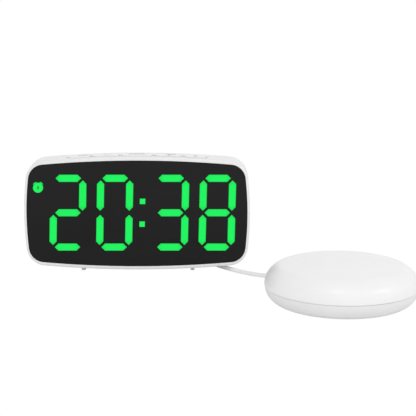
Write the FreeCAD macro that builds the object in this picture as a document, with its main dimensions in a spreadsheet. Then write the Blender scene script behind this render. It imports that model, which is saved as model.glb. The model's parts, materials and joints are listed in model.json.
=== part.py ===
import FreeCAD, Part
import Sketcher
import math
import os
import re

# Digital alarm clock with a bed shaker on a cord.
# +Z is up and the display faces -Y. The origin is on the table, under the middle
# of the box around the clock and the shaker.

doc = FreeCAD.newDocument("ShakerAlarmClock")
sheet = doc.addObject("Spreadsheet::Sheet", "Dimensions")

# Millimetres and degrees. "at" is a place from the clock's middle, along X,
# behind the middle of the face along Y, and above the table along Z.
DIMENSIONS = [
    ("case_width", 162.0, "clock case, left to right"),
    ("case_height", 81.0, "clock case, without its feet"),
    ("case_depth", 35.0, "middle of the face to the back"),
    ("face_lean", 5.9, "degrees the face leans back"),
    ("top_bow", 780.0, "radius of the bowed top and bottom"),
    ("side_bow", 225.0, "radius of the bowed sides"),
    ("case_corner", 14.0, "corner radius of the case outline"),
    ("front_round", 1.6, "rounded edge round the face"),
    ("back_round", 12.0, "rounded edge round the back"),
    ("case_wall", 2.0, "wall of both case shells"),
    ("split_depth", 22.0, "face to the joint between the shells"),
    ("split_gap", 0.2, "open line between the shells"),
    ("lip_wall", 1.2, "tongue of the rear cover"),
    ("lip_reach", 2.0, "tongue inside the front housing"),
    ("lip_gap", 0.1, "tongue to the housing wall"),
    ("rim_side", 1.8, "white rim beside the lens"),
    ("rim_top", 2.4, "white rim above and below the lens"),
    ("lens_corner", 11.2, "corner radius of the lens pocket"),
    ("lens_thick", 1.6, "smoked front lens"),
    ("lens_sink", 0.3, "lens below the rim"),
    ("lens_gap", 0.1, "lens to its pocket"),
    ("ledge_wide", 3.0, "ledge that carries the lens"),
    ("ledge_thick", 2.0, "ledge, front to back"),
    ("mask_thick", 4.0, "black reflector behind the lens"),
    ("mask_gap", 0.2, "reflector to the window"),
    ("digit_tall", 54.6, "height of a digit"),
    ("digit_wide", 25.9, "width of a digit"),
    ("segment_wide", 5.1, "width of a lit segment"),
    ("segment_gap", 3.0, "segment end to segment end"),
    ("digit_up", 0.45, "digits and colon above the middle"),
    ("digit_slant", 1.4, "degrees the digits lean right"),
    ("digit_pitch", 33.5, "digit to digit in a pair"),
    ("left_pair", -32.75, "middle of the left pair at"),
    ("right_pair", 40.75, "middle of the right pair at"),
    ("colon_at", 3.8, "colon at"),
    ("colon_apart", 16.4, "dot to dot"),
    ("colon_dot", 3.9, "square dot of the colon"),
    ("icon_at", -71.0, "alarm sign at"),
    ("icon_up", 18.15, "alarm sign above the middle"),
    ("icon_radius", 3.6, "alarm sign"),
    ("diffuser_thick", 1.2, "diffuser in its well"),
    ("diffuser_gap", 0.1, "diffuser to its well"),
    ("board_thick", 1.6, "circuit boards"),
    ("display_board_wide", 150.0, "display board"),
    ("display_board_tall", 62.0, "display board"),
    ("ear_at", 60.0, "display board ears, each side of the middle"),
    ("ear_reach", 34.2, "display board ears, above and below the middle"),
    ("ear_size", 2.6, "square ear"),
    ("ear_post", 1.5, "posts behind the ears"),
    ("ear_shank", 0.6, "radius of the ear screws"),
    ("ear_head", 1.2, "head radius of the ear screws"),
    ("post_radius", 2.3, "posts of the other boards"),
    ("small_shank", 0.8, "radius of board screws"),
    ("small_head", 1.6, "head radius of board screws"),
    ("small_head_thick", 1.2, "head of board screws"),
    ("small_reach", 4.0, "board screws below the head"),
    ("button_depth_at", 12.0, "middle of the buttons behind the face"),
    ("button_deep", 9.6, "button caps, front to back"),
    ("button_round", 4.4, "corner radius of the caps"),
    ("snooze_wide", 22.8, "middle cap"),
    ("inner_wide", 19.2, "caps beside the snooze cap"),
    ("outer_wide", 16.0, "end caps"),
    ("cap_space", 1.6, "cap to cap"),
    ("cap_gap", 0.18, "cap to its hole"),
    ("cap_rise", 0.3, "cap above the case"),
    ("button_travel", 0.7, "press depth"),
    ("flange_drop", 3.7, "flange below the case top"),
    ("flange_thick", 0.7, "flange that keeps a cap in"),
    ("flange_back", 1.4, "flange behind the cap"),
    ("stem_radius", 1.6, "stem under a cap"),
    ("stem_at", 15.0, "stems and switches behind the face"),
    ("stem_base", 77.0, "bottom of the stems"),
    ("plunger_radius", 1.5, "switch plunger"),
    ("plunger_gap", 0.05, "plunger to its switch"),
    ("plunger_sink", 1.4, "plunger inside its switch"),
    ("switch_wide", 6.0, "switch body"),
    ("switch_tall", 3.4, "switch body"),
    ("switch_gap", 0.9, "switch top to stem"),
    ("key_board_wide", 112.0, "key board"),
    ("key_board_deep", 9.6, "key board"),
    ("main_board_left", -54.0, "main board edge at"),
    ("main_board_right", 20.0, "main board edge at"),
    ("main_board_low", 9.0, "main board edge at"),
    ("main_board_high", 61.0, "main board edge at"),
    ("main_board_front", 17.0, "main board face at"),
    ("jack_height", 15.0, "middle of both jacks at"),
    ("power_at", -16.0, "power inlet at"),
    ("power_bore", 3.0, "radius of the power inlet"),
    ("power_pin", 1.0, "radius of its centre pin"),
    ("power_nose", 4.6, "nose radius of the power inlet"),
    ("shaker_at", -40.0, "shaker jack at"),
    ("shaker_nose", 3.0, "nose radius of the shaker jack"),
    ("pin_radius", 1.75, "shaker plug pin"),
    ("pin_gap", 0.05, "plug pin to the jack"),
    ("pin_reach", 14.0, "plug pin inside the jack"),
    ("jack_wide", 9.0, "jack bodies"),
    ("jack_tall", 9.0, "jack bodies"),
    ("jack_gap", 1.5, "jack bodies to the cover"),
    ("nose_gap", 0.15, "jack nose to the cover"),
    ("speaker_height", 46.0, "middle of the speaker at"),
    ("speaker_radius", 15.0, "speaker frame"),
    ("speaker_thick", 5.5, "speaker, front to back"),
    ("grille_hole", 1.0, "radius of the sound holes"),
    ("grille_step", 4.2, "ring to ring in the grille"),
    ("door_at", 42.0, "battery door at"),
    ("door_height", 38.0, "middle of the battery door at"),
    ("door_wide", 28.0, "battery door"),
    ("door_tall", 26.0, "battery door"),
    ("door_thick", 1.4, "battery door"),
    ("door_gap", 0.3, "door to its opening"),
    ("cell_radius", 10.0, "coin cell"),
    ("cell_thick", 3.2, "coin cell"),
    ("cell_gap", 0.3, "cell to its pocket"),
    ("pocket_wall", 1.2, "walls of the cell pocket"),
    ("contact_thick", 0.3, "cell contacts"),
    ("case_screw_at", 68.0, "case screws, each side of the middle"),
    ("case_screw_low", 19.0, "lower case screws at"),
    ("case_screw_high", 66.0, "upper case screws at"),
    ("case_boss", 4.0, "boss radius for the case screws"),
    ("case_boss_front", 13.5, "bosses start at"),
    ("case_shank", 1.3, "radius of the case screws"),
    ("case_head", 2.6, "head radius of the case screws"),
    ("case_head_thick", 1.8, "head of the case screws"),
    ("case_head_sink", 1.6, "heads below the back"),
    ("screw_gap", 0.2, "heads and shanks to their holes"),
    ("foot_height", 2.3, "clock above the table"),
    ("foot_wide", 2.8, "rubber foot"),
    ("foot_long", 6.4, "rubber foot"),
    ("foot_spread", 39.6, "feet, each side of the middle"),
    ("foot_front", 7.2, "front feet at"),
    ("foot_back", 26.0, "rear feet at"),
    ("foot_pocket", 0.8, "front foot inside the case bottom"),
    ("foot_pocket_back", 1.6, "rear foot above the lowest case bottom"),
    ("puck_right", 137.2, "shaker, right of the clock's middle"),
    ("puck_front", 91.9, "shaker, in front of the clock's face"),
    ("puck_diameter", 100.0, "shaker"),
    ("puck_height", 29.8, "shaker with its pads"),
    ("puck_seam", 15.0, "joint of the shaker shells at"),
    ("puck_shoulder", 13.5, "rounded shoulder of the upper shell"),
    ("base_shoulder", 11.0, "rounded shoulder of the lower shell"),
    ("puck_step", 0.4, "lower shell inside the upper"),
    ("puck_wall", 2.2, "shaker shells"),
    ("puck_lift", 0.8, "lower shell above the table"),
    ("pad_radius", 4.5, "rubber pads"),
    ("pad_circle", 24.0, "pads from the middle"),
    ("pad_tall", 3.0, "rubber pads, table to pocket"),
    ("puck_screw_circle", 36.0, "shaker screws from the middle"),
    ("puck_boss", 4.0, "boss radius in the shaker"),
    ("puck_boss_low", 4.6, "lower bosses start at"),
    ("puck_screw_low", 5.4, "shaker screw heads at"),
    ("motor_radius", 10.0, "motor can"),
    ("motor_long", 27.0, "motor can"),
    ("motor_height", 15.2, "motor axis at"),
    ("motor_left", -21.0, "motor starts, from the middle"),
    ("shaft_radius", 1.0, "motor shaft"),
    ("shaft_gap", 0.05, "shaft to its bearing"),
    ("shaft_long", 26.0, "motor shaft"),
    ("shaft_inside", 12.0, "motor shaft inside the can"),
    ("weight_radius", 9.0, "eccentric weight"),
    ("weight_hub", 3.0, "hub of the weight"),
    ("weight_long", 9.0, "eccentric weight"),
    ("weight_start", 3.0, "can to weight"),
    ("clamp_wide", 12.0, "motor clamp"),
    ("clamp_thick", 1.2, "motor clamp"),
    ("clamp_foot", 7.0, "motor clamp foot"),
    ("cord_diameter", 3.0, "round two-core cord"),
    ("exit_angle", 122.0, "cord exit round the shaker"),
    ("exit_height", 7.0, "cord exit at"),
    ("exit_reach", 60.0, "end of the relief, from the middle"),
    ("relief_root", 3.2, "relief radius at the shell"),
    ("relief_tip", 2.0, "relief radius at its end"),
    ("relief_start", 41.0, "inner end of the relief, from the middle"),
    ("relief_straight", 49.0, "relief tapers from here, from the middle"),
    ("relief_gap", 0.1, "relief to the shell"),
    ("plug_radius", 4.2, "plug body"),
    ("plug_long", 12.0, "plug body"),
    ("plug_tail", 6.0, "plug's own strain relief"),
    ("plug_stop", 0.3, "plug body off the back"),
    ("coil_at", -19.0, "cord coil at"),
    ("coil_behind", 78.0, "cord coil behind the face"),
    ("coil_inner", 10.5, "hole radius of the coil"),
    ("coil_outer", 22.5, "outer radius of the coil"),
    ("coil_tall", 12.4, "height of the coil"),
    ("tie_wide", 4.0, "tie round the coil"),
    ("tie_thick", 0.8, "tie round the coil"),
]

for row, (alias, number, note) in enumerate(DIMENSIONS, 1):
    sheet.set(f"A{row}", alias)
    sheet.set(f"B{row}", str(number))
    sheet.set(f"C{row}", note)
    sheet.setAlias(f"B{row}", alias)
doc.recompute()
ALIASES = {alias for alias, number, note in DIMENSIONS}


def size(alias):
    """A driving dimension, as a number."""
    return float(sheet.get(alias))


def link(text):
    """An expression on the sheet, from text that names its cells."""
    return re.sub(r"[a-z][a-z_]*", lambda word: "Dimensions." + word[0] if word[0] in ALIASES else word[0], text)


def bind(thing, **cells):
    """Ties properties of an object to expressions on the sheet."""
    for prop, text in cells.items():
        thing.setExpression(prop, link(text))
    return thing


# ---------------------------------------------------------------- frames
# Each frame turns three local expressions into a place in the part's own axes.
CLOCK_X = "(case_width / 2 - puck_right - puck_diameter / 2) / 2"
FACE_Y = "(puck_front + puck_diameter / 2 - case_depth) / 2"
FACE_Z = "(foot_height + case_height / 2)"
PUCK_X = f"({CLOCK_X} + puck_right)"
PUCK_Y = f"({FACE_Y} - puck_front)"


def clock_frame(x, y, z):
    return (f"{CLOCK_X} + {x}", f"{FACE_Y} + {y}", f"{z}")


def face_frame(across, inward, up):
    """Across the leaning face, into the clock, and up along the face."""
    y = f"{FACE_Y} + ({inward}) * cos(face_lean) + ({up}) * sin(face_lean)"
    z = f"{FACE_Z} - ({inward}) * sin(face_lean) + ({up}) * cos(face_lean)"
    return (f"{CLOCK_X} + {across}", y, z)


def puck_frame(x, y, z):
    return (f"{PUCK_X} + {x}", f"{PUCK_Y} + {y}", f"{z}")


def place(thing, frame, x, y, z, axis=None, angle="0"):
    """Puts an object in a frame, turned by an angle about one axis."""
    if frame is face_frame:
        axis = (1, 0, 0)
        angle = f"{angle} - face_lean"
    if axis:
        thing.Placement.Rotation = FreeCAD.Rotation(FreeCAD.Vector(*axis), 45)
        thing.setExpression("Placement.Rotation.Angle", link(angle))
    for letter, text in zip("xyz", frame(x, y, z)):
        thing.setExpression(f"Placement.Base.{letter}", link(text))
    return thing


# ---------------------------------------------------------------- primitives
ABOUT_X = (1, 0, 0)
ABOUT_Y = (0, 1, 0)
ABOUT_Z = (0, 0, 1)


def block(name, frame, middle, low, wide, deep, tall):
    """A box: middle is its centre across, low its nearest and lowest corner."""
    box = bind(doc.addObject("Part::Box", name), Length=wide, Width=deep, Height=tall)
    return place(box, frame, f"{middle} - ({wide}) / 2", low[0], low[1])


def rod(name, frame, x, y, z, radius, length, along="Z"):
    """A cylinder that starts at a point and runs along +X, +Y or +Z of its frame."""
    cylinder = bind(doc.addObject("Part::Cylinder", name), Radius=radius, Height=length)
    turns = {"X": (ABOUT_Y, "90"), "Y": (ABOUT_X, "-90"), "Z": (None, "0")}
    axis, angle = turns[along]
    return place(cylinder, frame, x, y, z, axis, angle)


def cut(name, base, *tools):
    result = doc.addObject("Part::Cut", name)
    result.Base = base
    result.Tool = tools[0] if len(tools) == 1 else fuse(name + "_tools", *tools)
    return result


def fuse(name, *shapes):
    result = doc.addObject("Part::MultiFuse", name)
    result.Shapes = list(shapes)
    return result


def common(name, first, second):
    result = doc.addObject("Part::Common", name)
    result.Base = first
    result.Tool = second
    return result


def group(name, *shapes):
    """Separate solids that share one node."""
    result = doc.addObject("Part::Compound", name)
    result.Links = list(shapes)
    return result


# ---------------------------------------------------------------- bodies
def new_body(name):
    return doc.addObject("PartDesign::Body", name)


def new_sketch(body, name, role, offset="0"):
    """A sketch on one of its body's own planes, moved along the plane's normal."""
    sketch = body.newObject("Sketcher::SketchObject", name)
    plane = [item for item in body.Origin.OriginFeatures if item.Role == role][0]
    sketch.AttachmentSupport = [(plane, "")]
    sketch.MapMode = "FlatFace"
    sketch.setExpression("AttachmentOffset.Base.z", link(offset))
    return sketch


def pad(body, name, sketch, length):
    """Pads a sketch against its normal, so a sketch on XZ grows along +Y."""
    feature = body.newObject("PartDesign::Pad", name)
    feature.Profile = sketch
    feature.Reversed = True
    bind(feature, Length=length)
    sketch.Visibility = False
    return feature


def amount(text):
    """The number that a sum of cells and plain numbers stands for."""
    terms = re.findall(r"([+-]?)\s*([\w.]+)", text)
    return sum((-1 if sign == "-" else 1) * (size(word) if word in ALIASES else float(word)) for sign, word in terms)


def dimension(sketch, kind, parts, text):
    """A driving constraint tied to the sheet. It starts at the size that the geometry has."""
    if kind == "Radius":
        start = sketch.Geometry[parts[0]].Radius
    else:
        point = sketch.getPoint(parts[-2], parts[-1])
        start = point.x if kind == "DistanceX" else point.y
    index = sketch.addConstraint(Sketcher.Constraint(kind, *parts, start))
    sketch.setExpression(f"Constraints[{index}]", link(text))


def arc(sketch, centre, radius, start, end):
    circle = Part.Circle(FreeCAD.Vector(centre[0], centre[1], 0), FreeCAD.Vector(0, 0, 1), radius)
    return sketch.addGeometry(Part.ArcOfCircle(circle, start, end), False)


def chain(sketch, edges, tangent=True):
    """Joins each edge's end to the next one's start."""
    for first, second in zip(edges, edges[1:] + edges[:1]):
        sketch.addConstraint(Sketcher.Constraint("Tangent" if tangent else "Coincident", first, 2, second, 1))


def barrel(body, name, offset, side_inset, top_inset, corner):
    """The clock's bowed outline on XZ: four long arcs joined by four corner arcs."""
    sketch = new_sketch(body, name, "XZ_Plane", offset)
    side_radius = size("side_bow") - amount(side_inset)
    top_radius = size("top_bow") - amount(top_inset)
    side_centre = size("case_width") / 2 - size("side_bow")
    top_centre = size("case_height") / 2 - size("top_bow")
    corner_radius = amount(corner)
    # The corner's centre lies where two inner circles cross.
    to_side = side_radius - corner_radius
    to_top = top_radius - corner_radius
    apart = math.hypot(side_centre, top_centre)
    along = (to_side ** 2 - to_top ** 2 + apart ** 2) / (2 * apart)
    toward = math.atan2(top_centre, -side_centre) + math.acos(along / to_side)
    corner_x = side_centre + to_side * math.cos(toward)
    corner_y = to_side * math.sin(toward)
    low = math.atan2(corner_y, corner_x - side_centre)
    high = math.atan2(corner_y - top_centre, corner_x)
    half_turn = math.pi
    edges = [
        arc(sketch, (side_centre, 0), side_radius, -low, low),
        arc(sketch, (corner_x, corner_y), corner_radius, low, high),
        arc(sketch, (0, top_centre), top_radius, high, half_turn - high),
        arc(sketch, (-corner_x, corner_y), corner_radius, half_turn - high, half_turn - low),
        arc(sketch, (-side_centre, 0), side_radius, half_turn - low, half_turn + low),
        arc(sketch, (-corner_x, -corner_y), corner_radius, half_turn + low, half_turn + high),
        arc(sketch, (0, -top_centre), top_radius, half_turn + high, 2 * half_turn - high),
        arc(sketch, (corner_x, -corner_y), corner_radius, 2 * half_turn - high, 2 * half_turn - low),
    ]
    chain(sketch, edges)
    for edge, sign in ((0, ""), (4, "-")):
        sketch.addConstraint(Sketcher.Constraint("PointOnObject", edges[edge], 3, -1))
        dimension(sketch, "DistanceX", (-1, 1, edges[edge], 3), f"{sign}(case_width / 2 - side_bow)")
        dimension(sketch, "Radius", (edges[edge],), f"side_bow - ({side_inset})")
    for edge, sign in ((2, ""), (6, "-")):
        sketch.addConstraint(Sketcher.Constraint("PointOnObject", edges[edge], 3, -2))
        dimension(sketch, "DistanceY", (-1, 1, edges[edge], 3), f"{sign}(case_height / 2 - top_bow)")
        dimension(sketch, "Radius", (edges[edge],), f"top_bow - ({top_inset})")
    for edge in (1, 3, 5, 7):
        dimension(sketch, "Radius", (edges[edge],), corner)
    return sketch


def rounded_rectangle(body, name, wide, deep, corner):
    """A rounded rectangle round the origin of XY."""
    sketch = new_sketch(body, name, "XY_Plane")
    radius = amount(corner)
    x = amount(wide) / 2 - radius
    y = amount(deep) / 2 - radius
    quarter = math.pi / 2
    corners = [(x, y), (-x, y), (-x, -y), (x, -y)]
    edges = []
    for turn, (centre, following) in enumerate(zip(corners, corners[1:] + corners[:1])):
        edges.append(arc(sketch, centre, radius, turn * quarter, (turn + 1) * quarter))
        out = FreeCAD.Vector(math.cos((turn + 1) * quarter), math.sin((turn + 1) * quarter), 0) * radius
        start = FreeCAD.Vector(centre[0], centre[1], 0) + out
        end = FreeCAD.Vector(following[0], following[1], 0) + out
        edges.append(sketch.addGeometry(Part.LineSegment(start, end), False))
    chain(sketch, edges)
    for edge, (side, end) in zip(edges[::2], (("", ""), ("-", ""), ("-", "-"), ("", "-"))):
        dimension(sketch, "DistanceX", (-1, 1, edge, 3), f"{side}(({wide}) / 2 - {corner})")
        dimension(sketch, "DistanceY", (-1, 1, edge, 3), f"{end}(({deep}) / 2 - {corner})")
        dimension(sketch, "Radius", (edge,), corner)
    return sketch


# ---------------------------------------------------------------- case shells
def near(first, second):
    return abs(first - second) < 0.001


def leaning_cut(body, name, stock, inward):
    """Pockets away all that lies in front of a plane parallel to the face."""
    sketch = new_sketch(body, name + "_profile", "YZ_Plane")
    lean = math.tan(math.radians(size("face_lean")))
    half = size("case_height")
    shift = amount(inward) / math.cos(math.radians(size("face_lean")))
    front = -2 * amount(stock)
    corners = [(front, -half), (shift - half * lean, -half), (shift + half * lean, half), (front, half)]
    texts = [
        (f"-2 * {stock}", "-case_height"),
        (f"({inward}) / cos(face_lean) - case_height * tan(face_lean)", "-case_height"),
        (f"({inward}) / cos(face_lean) + case_height * tan(face_lean)", "case_height"),
        (f"-2 * {stock}", "case_height"),
    ]
    lines = []
    for start, end in zip(corners, corners[1:] + corners[:1]):
        line = Part.LineSegment(FreeCAD.Vector(*start, 0), FreeCAD.Vector(*end, 0))
        lines.append(sketch.addGeometry(line, False))
    chain(sketch, lines, tangent=False)
    for line, (x_text, y_text) in zip(lines, texts):
        dimension(sketch, "DistanceX", (-1, 1, line, 1), x_text)
        dimension(sketch, "DistanceY", (-1, 1, line, 1), y_text)
    pocket = body.newObject("PartDesign::Pocket", name)
    pocket.Profile = sketch
    pocket.Type = "ThroughAll"
    pocket.Midplane = True
    sketch.Visibility = False
    return pocket


def round_edges(body, name, chosen, radius):
    """Fillets the edges of the body's last feature that a test picks out."""
    doc.recompute()
    base = body.Tip
    names = []
    for number, edge in enumerate(base.Shape.Edges, 1):
        if all(chosen(vertex.Point) for vertex in edge.Vertexes):
            names.append(f"Edge{number}")
    fillet = body.newObject("PartDesign::Fillet", name)
    fillet.Base = (base, names)
    bind(fillet, Radius=radius)
    return fillet


STOCK = "10"


def case_solid(name, inset, corner, inward, back, back_radius):
    """A bowed block with a leaning front and a rounded back."""
    body = new_body(name)
    outline = barrel(body, name + "_outline", STOCK, inset, inset, corner)
    pad(body, name + "_pad", outline, f"{STOCK} + {back}")
    leaning_cut(body, name + "_lean", STOCK, inward)
    depth = amount(back)
    round_edges(body, name + "_back_round", lambda point: near(point.y, depth), back_radius)
    return place(body, clock_frame, "0", "0", FACE_Z)


LENS_BACK = "lens_sink + lens_thick"
LEDGE_BACK = f"{LENS_BACK} + ledge_thick"
MASK_BACK = f"{LENS_BACK} + mask_thick"

case_form = case_solid("case_form", "0", "case_corner", "0", "case_depth", "back_round")
lean = math.tan(math.radians(size("face_lean")))
round_edges(case_form, "case_front_round", lambda point: near(point.y, point.z * lean), "front_round")
case_core = case_solid(
    "case_core", "case_wall", "case_corner - case_wall", LEDGE_BACK,
    "case_depth - case_wall", "back_round - case_wall",
)
case_shell = cut("case_shell", case_form, case_core)


def face_plate(name, front, thick, side_inset, top_inset, corner):
    """A bowed plate parallel to the face, from one depth behind it."""
    body = new_body(name)
    outline = barrel(body, name + "_outline", f"-({front})", side_inset, top_inset, corner)
    pad(body, name + "_pad", outline, thick)
    return place(body, face_frame, "0", "0", "0")


def case_block(name, front, deep):
    """A slab of space across the whole case, between two depths."""
    return block(name, clock_frame, "0", (front, "-10"), "case_width + 20", deep, "case_height + 30")


# ---------------------------------------------------------------- display
display_lens = face_plate(
    "display_lens", "lens_sink", "lens_thick",
    "rim_side + lens_gap", "rim_top + lens_gap", "lens_corner - lens_gap",
)
lens_pocket = face_plate(
    "lens_pocket", "-5", f"5 + {LENS_BACK}", "rim_side", "rim_top", "lens_corner",
)
window = face_plate(
    "window", "0", f"{LEDGE_BACK} + 1",
    "rim_side + ledge_wide", "rim_top + ledge_wide", "lens_corner - ledge_wide",
)
mask_plate = face_plate(
    "mask_plate", LENS_BACK, "mask_thick",
    "rim_side + ledge_wide + mask_gap", "rim_top + ledge_wide + mask_gap",
    "lens_corner - ledge_wide - mask_gap",
)


def segment_places():
    """Every segment of the four digits: middle across, middle up, and which way it runs."""
    half_wide = (size("digit_wide") - size("segment_wide")) / 2
    half_tall = (size("digit_tall") - size("segment_wide")) / 2
    slant = math.tan(math.radians(size("digit_slant")))
    spots = []
    raised = size("digit_up")
    for pair in ("left_pair", "right_pair"):
        for side in (-0.5, 0.5):
            middle = size(pair) + side * size("digit_pitch")
            for up in (-half_tall, 0, half_tall):
                spots.append((middle + up * slant, up + raised, "across"))
            for up in (-half_tall / 2, half_tall / 2):
                for across in (-half_wide, half_wide):
                    spots.append((middle + across + up * slant, up + raised, "up"))
    return spots


def display_lights(name, grow, front, thick):
    """Solids in the shape of all lit areas, each grown all round."""
    half = size("segment_wide") / 2
    slant = math.tan(math.radians(size("digit_slant")))
    lengths = {
        "across": size("digit_wide") - size("segment_wide") - size("segment_gap"),
        "up": (size("digit_tall") - size("segment_wide")) / 2 - size("segment_gap"),
    }
    outward = FreeCAD.Vector(0, thick, 0)
    solids = []
    for across, up, way in segment_places():
        tip = lengths[way] / 2 + grow * math.sqrt(2)
        side = half + grow
        shoulder = tip - side
        outline = [(-tip, 0), (-shoulder, side), (shoulder, side), (tip, 0), (shoulder, -side), (-shoulder, -side)]
        if way == "up":
            outline = [(y, x) for x, y in outline]
        points = [FreeCAD.Vector(across + x + y * slant, front, up + y) for x, y in outline]
        solids.append(Part.Face(Part.makePolygon(points + points[:1])).extrude(outward))
    dot = size("colon_dot") / 2 + grow
    for sign in (-1, 1):
        up = sign * size("colon_apart") / 2
        corner = FreeCAD.Vector(size("colon_at") - dot + up * slant, front, up + size("digit_up") - dot)
        solids.append(Part.makeBox(2 * dot, thick, 2 * dot, corner))
    sign_radius = size("icon_radius") + grow
    middle = FreeCAD.Vector(size("icon_at"), front, size("icon_up"))
    solids.append(Part.makeCylinder(sign_radius, thick, middle, FreeCAD.Vector(0, 1, 0)))
    feature = doc.addObject("Part::Feature", name)
    feature.Shape = Part.Compound(solids)
    return place(feature, face_frame, "0", "0", "0")


lens_back = amount(LENS_BACK)
mask_back = amount(MASK_BACK)
wells = display_lights("wells", size("diffuser_gap"), lens_back - 1, size("mask_thick") + 2)
display_mask = cut("display_mask", mask_plate, wells)
segment_diffusers = display_lights("segment_diffusers", 0, lens_back, size("diffuser_thick"))

LED_LONG = 2.0
LED_WIDE = 1.2
LED_THICK = 0.7
chips = []
for across, up, way in segment_places():
    corner = FreeCAD.Vector(across - LED_LONG / 2, mask_back - LED_THICK, up - LED_WIDE / 2)
    chips.append(Part.makeBox(LED_LONG, LED_THICK, LED_WIDE, corner))
segment_leds = doc.addObject("Part::Feature", "segment_leds")
segment_leds.Shape = Part.Compound(chips)
place(segment_leds, face_frame, "0", "0", "0")

board = block(
    "display_board_plate", face_frame, "0", (MASK_BACK, "-display_board_tall / 2"),
    "display_board_wide", "board_thick", "display_board_tall",
)
ears = []
ear_posts = []
ear_screws = []
ear_holes = []
for side in ("-", ""):
    for end in ("-", ""):
        tag = ("left" if side else "right") + ("_low" if end else "_high")
        across = f"{side}ear_at"
        up = f"{end}ear_reach"
        reach = "(ear_reach + ear_size / 2)"
        low = f"-{reach}" if end else "0"
        ears.append(block("ear_" + tag, face_frame, across, (MASK_BACK, low), "ear_size", "board_thick", reach))
        post_long = f"{MASK_BACK} - ({LEDGE_BACK}) + 1"
        ear_posts.append(rod("ear_post_" + tag, face_frame, across, f"{LEDGE_BACK} - 1", up, "ear_post", post_long, "Y"))
        head_at = f"{MASK_BACK} + board_thick"
        head = rod("ear_head_" + tag, face_frame, across, head_at, up, "ear_head", "small_head_thick", "Y")
        shank_at = f"{head_at} - small_reach"
        shank = rod("ear_shank_" + tag, face_frame, across, shank_at, up, "ear_shank", "small_reach", "Y")
        ear_screws.append(fuse("ear_screw_" + tag, head, shank))
        ear_holes.append(shank)
display_board = cut("display_board", fuse("display_board_eared", board, *ears), fuse("ear_shanks", *ear_holes))
display_board_screws = group("display_board_screws", *ear_screws)


# ---------------------------------------------------------------- buttons
def case_top(at):
    """Height of the case top above the table, at a distance from the middle."""
    return f"(foot_height + case_height - top_bow + sqrt(top_bow ^ 2 - ({at}) ^ 2))"


BUTTONS = [
    ("alarm_button", "-(snooze_wide / 2 + inner_wide + outer_wide / 2 + 2 * cap_space)", "outer_wide"),
    ("minus_button", "-(snooze_wide / 2 + inner_wide / 2 + cap_space)", "inner_wide"),
    ("snooze_button", "0", "snooze_wide"),
    ("plus_button", "(snooze_wide / 2 + inner_wide / 2 + cap_space)", "inner_wide"),
    ("light_button", "(snooze_wide / 2 + inner_wide + outer_wide / 2 + 2 * cap_space)", "outer_wide"),
]
SWITCH_TOP = "(stem_base - switch_gap)"
KEY_BOARD_TOP = f"({SWITCH_TOP} - switch_tall)"

cap_top = new_body("cap_top")
pad(
    cap_top, "cap_top_pad", barrel(cap_top, "cap_top_outline", "0", "0", "-cap_rise", "case_corner"),
    "split_depth",
)
place(cap_top, clock_frame, "0", "0", FACE_Z)

button_holes = []
switch_bodies = []
plunger_holes = []
for name, at, wide in BUTTONS:
    flange_low = f"{case_top(at)} - flange_drop"
    cap_low = f"{flange_low} + flange_thick / 2"
    prism = new_body(name + "_prism")
    outline = rounded_rectangle(prism, name + "_outline", wide, "button_deep", "button_round")
    feature = pad(prism, name + "_pad", outline, "flange_drop + 5")
    feature.Reversed = False
    place(prism, clock_frame, at, "button_depth_at", cap_low)
    cap = common(name + "_cap", prism, cap_top)
    flange_front = "button_depth_at - button_deep / 2 + flange_back"
    flange = block(
        name + "_flange", clock_frame, at, (flange_front, flange_low), wide, "button_deep", "flange_thick",
    )
    stem_long = f"{flange_low} - stem_base + flange_thick / 2"
    stem = rod(name + "_stem", clock_frame, at, "stem_at", "stem_base", "stem_radius", stem_long)
    fuse(name, cap, flange, stem)

    hole = new_body(name + "_hole")
    hole_outline = rounded_rectangle(
        hole, name + "_hole_outline", f"{wide} + cap_gap + cap_gap",
        "button_deep + cap_gap + cap_gap", "button_round + cap_gap",
    )
    feature = pad(hole, name + "_hole_pad", hole_outline, "flange_drop + button_travel + 5")
    feature.Reversed = False
    hole_low = f"{flange_low} - button_travel"
    button_holes.append(place(hole, clock_frame, at, "button_depth_at", hole_low))

    plunger_long = "switch_gap + plunger_sink"
    plunger_low = f"{SWITCH_TOP} - plunger_sink"
    rod(name.replace("button", "plunger"), clock_frame, at, "stem_at", plunger_low, "plunger_radius", plunger_long)
    well_deep = "plunger_sink + button_travel + plunger_gap"
    plunger_holes.append(rod(
        name + "_well", clock_frame, at, "stem_at", f"{SWITCH_TOP} - ({well_deep})",
        "plunger_radius + plunger_gap", f"{well_deep} + 1",
    ))
    switch_low = ("stem_at - switch_wide / 2", KEY_BOARD_TOP)
    switch_bodies.append(block(
        name + "_switch", clock_frame, at, switch_low, "switch_wide", "switch_wide", "switch_tall",
    ))
tact_switches = cut("tact_switches", group("switch_blocks", *switch_bodies), fuse("plunger_wells", *plunger_holes))

key_plate = block(
    "key_plate", clock_frame, "0", ("stem_at + 1 - key_board_deep / 2", f"{KEY_BOARD_TOP} - board_thick"),
    "key_board_wide", "key_board_deep", "board_thick",
)
KEY_POST_AT = "(key_board_wide / 2 - post_radius)"
key_posts = []
key_screws = []
key_shanks = []
for side in ("-", ""):
    tag = "left" if side else "right"
    at = f"{side}{KEY_POST_AT}"
    long = f"{case_top(KEY_POST_AT)} - {KEY_BOARD_TOP} - case_wall / 2"
    key_posts.append(rod("key_post_" + tag, clock_frame, at, "stem_at + 1", KEY_BOARD_TOP, "post_radius", long))
    head_low = f"{KEY_BOARD_TOP} - board_thick - small_head_thick"
    head = rod("key_head_" + tag, clock_frame, at, "stem_at + 1", head_low, "small_head", "small_head_thick")
    shank_low = f"{KEY_BOARD_TOP} - board_thick"
    shank = rod("key_shank_" + tag, clock_frame, at, "stem_at + 1", shank_low, "small_shank", "small_reach")
    key_shanks.append(shank)
    key_screws.append(fuse("key_screw_" + tag, head, shank))
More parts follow.
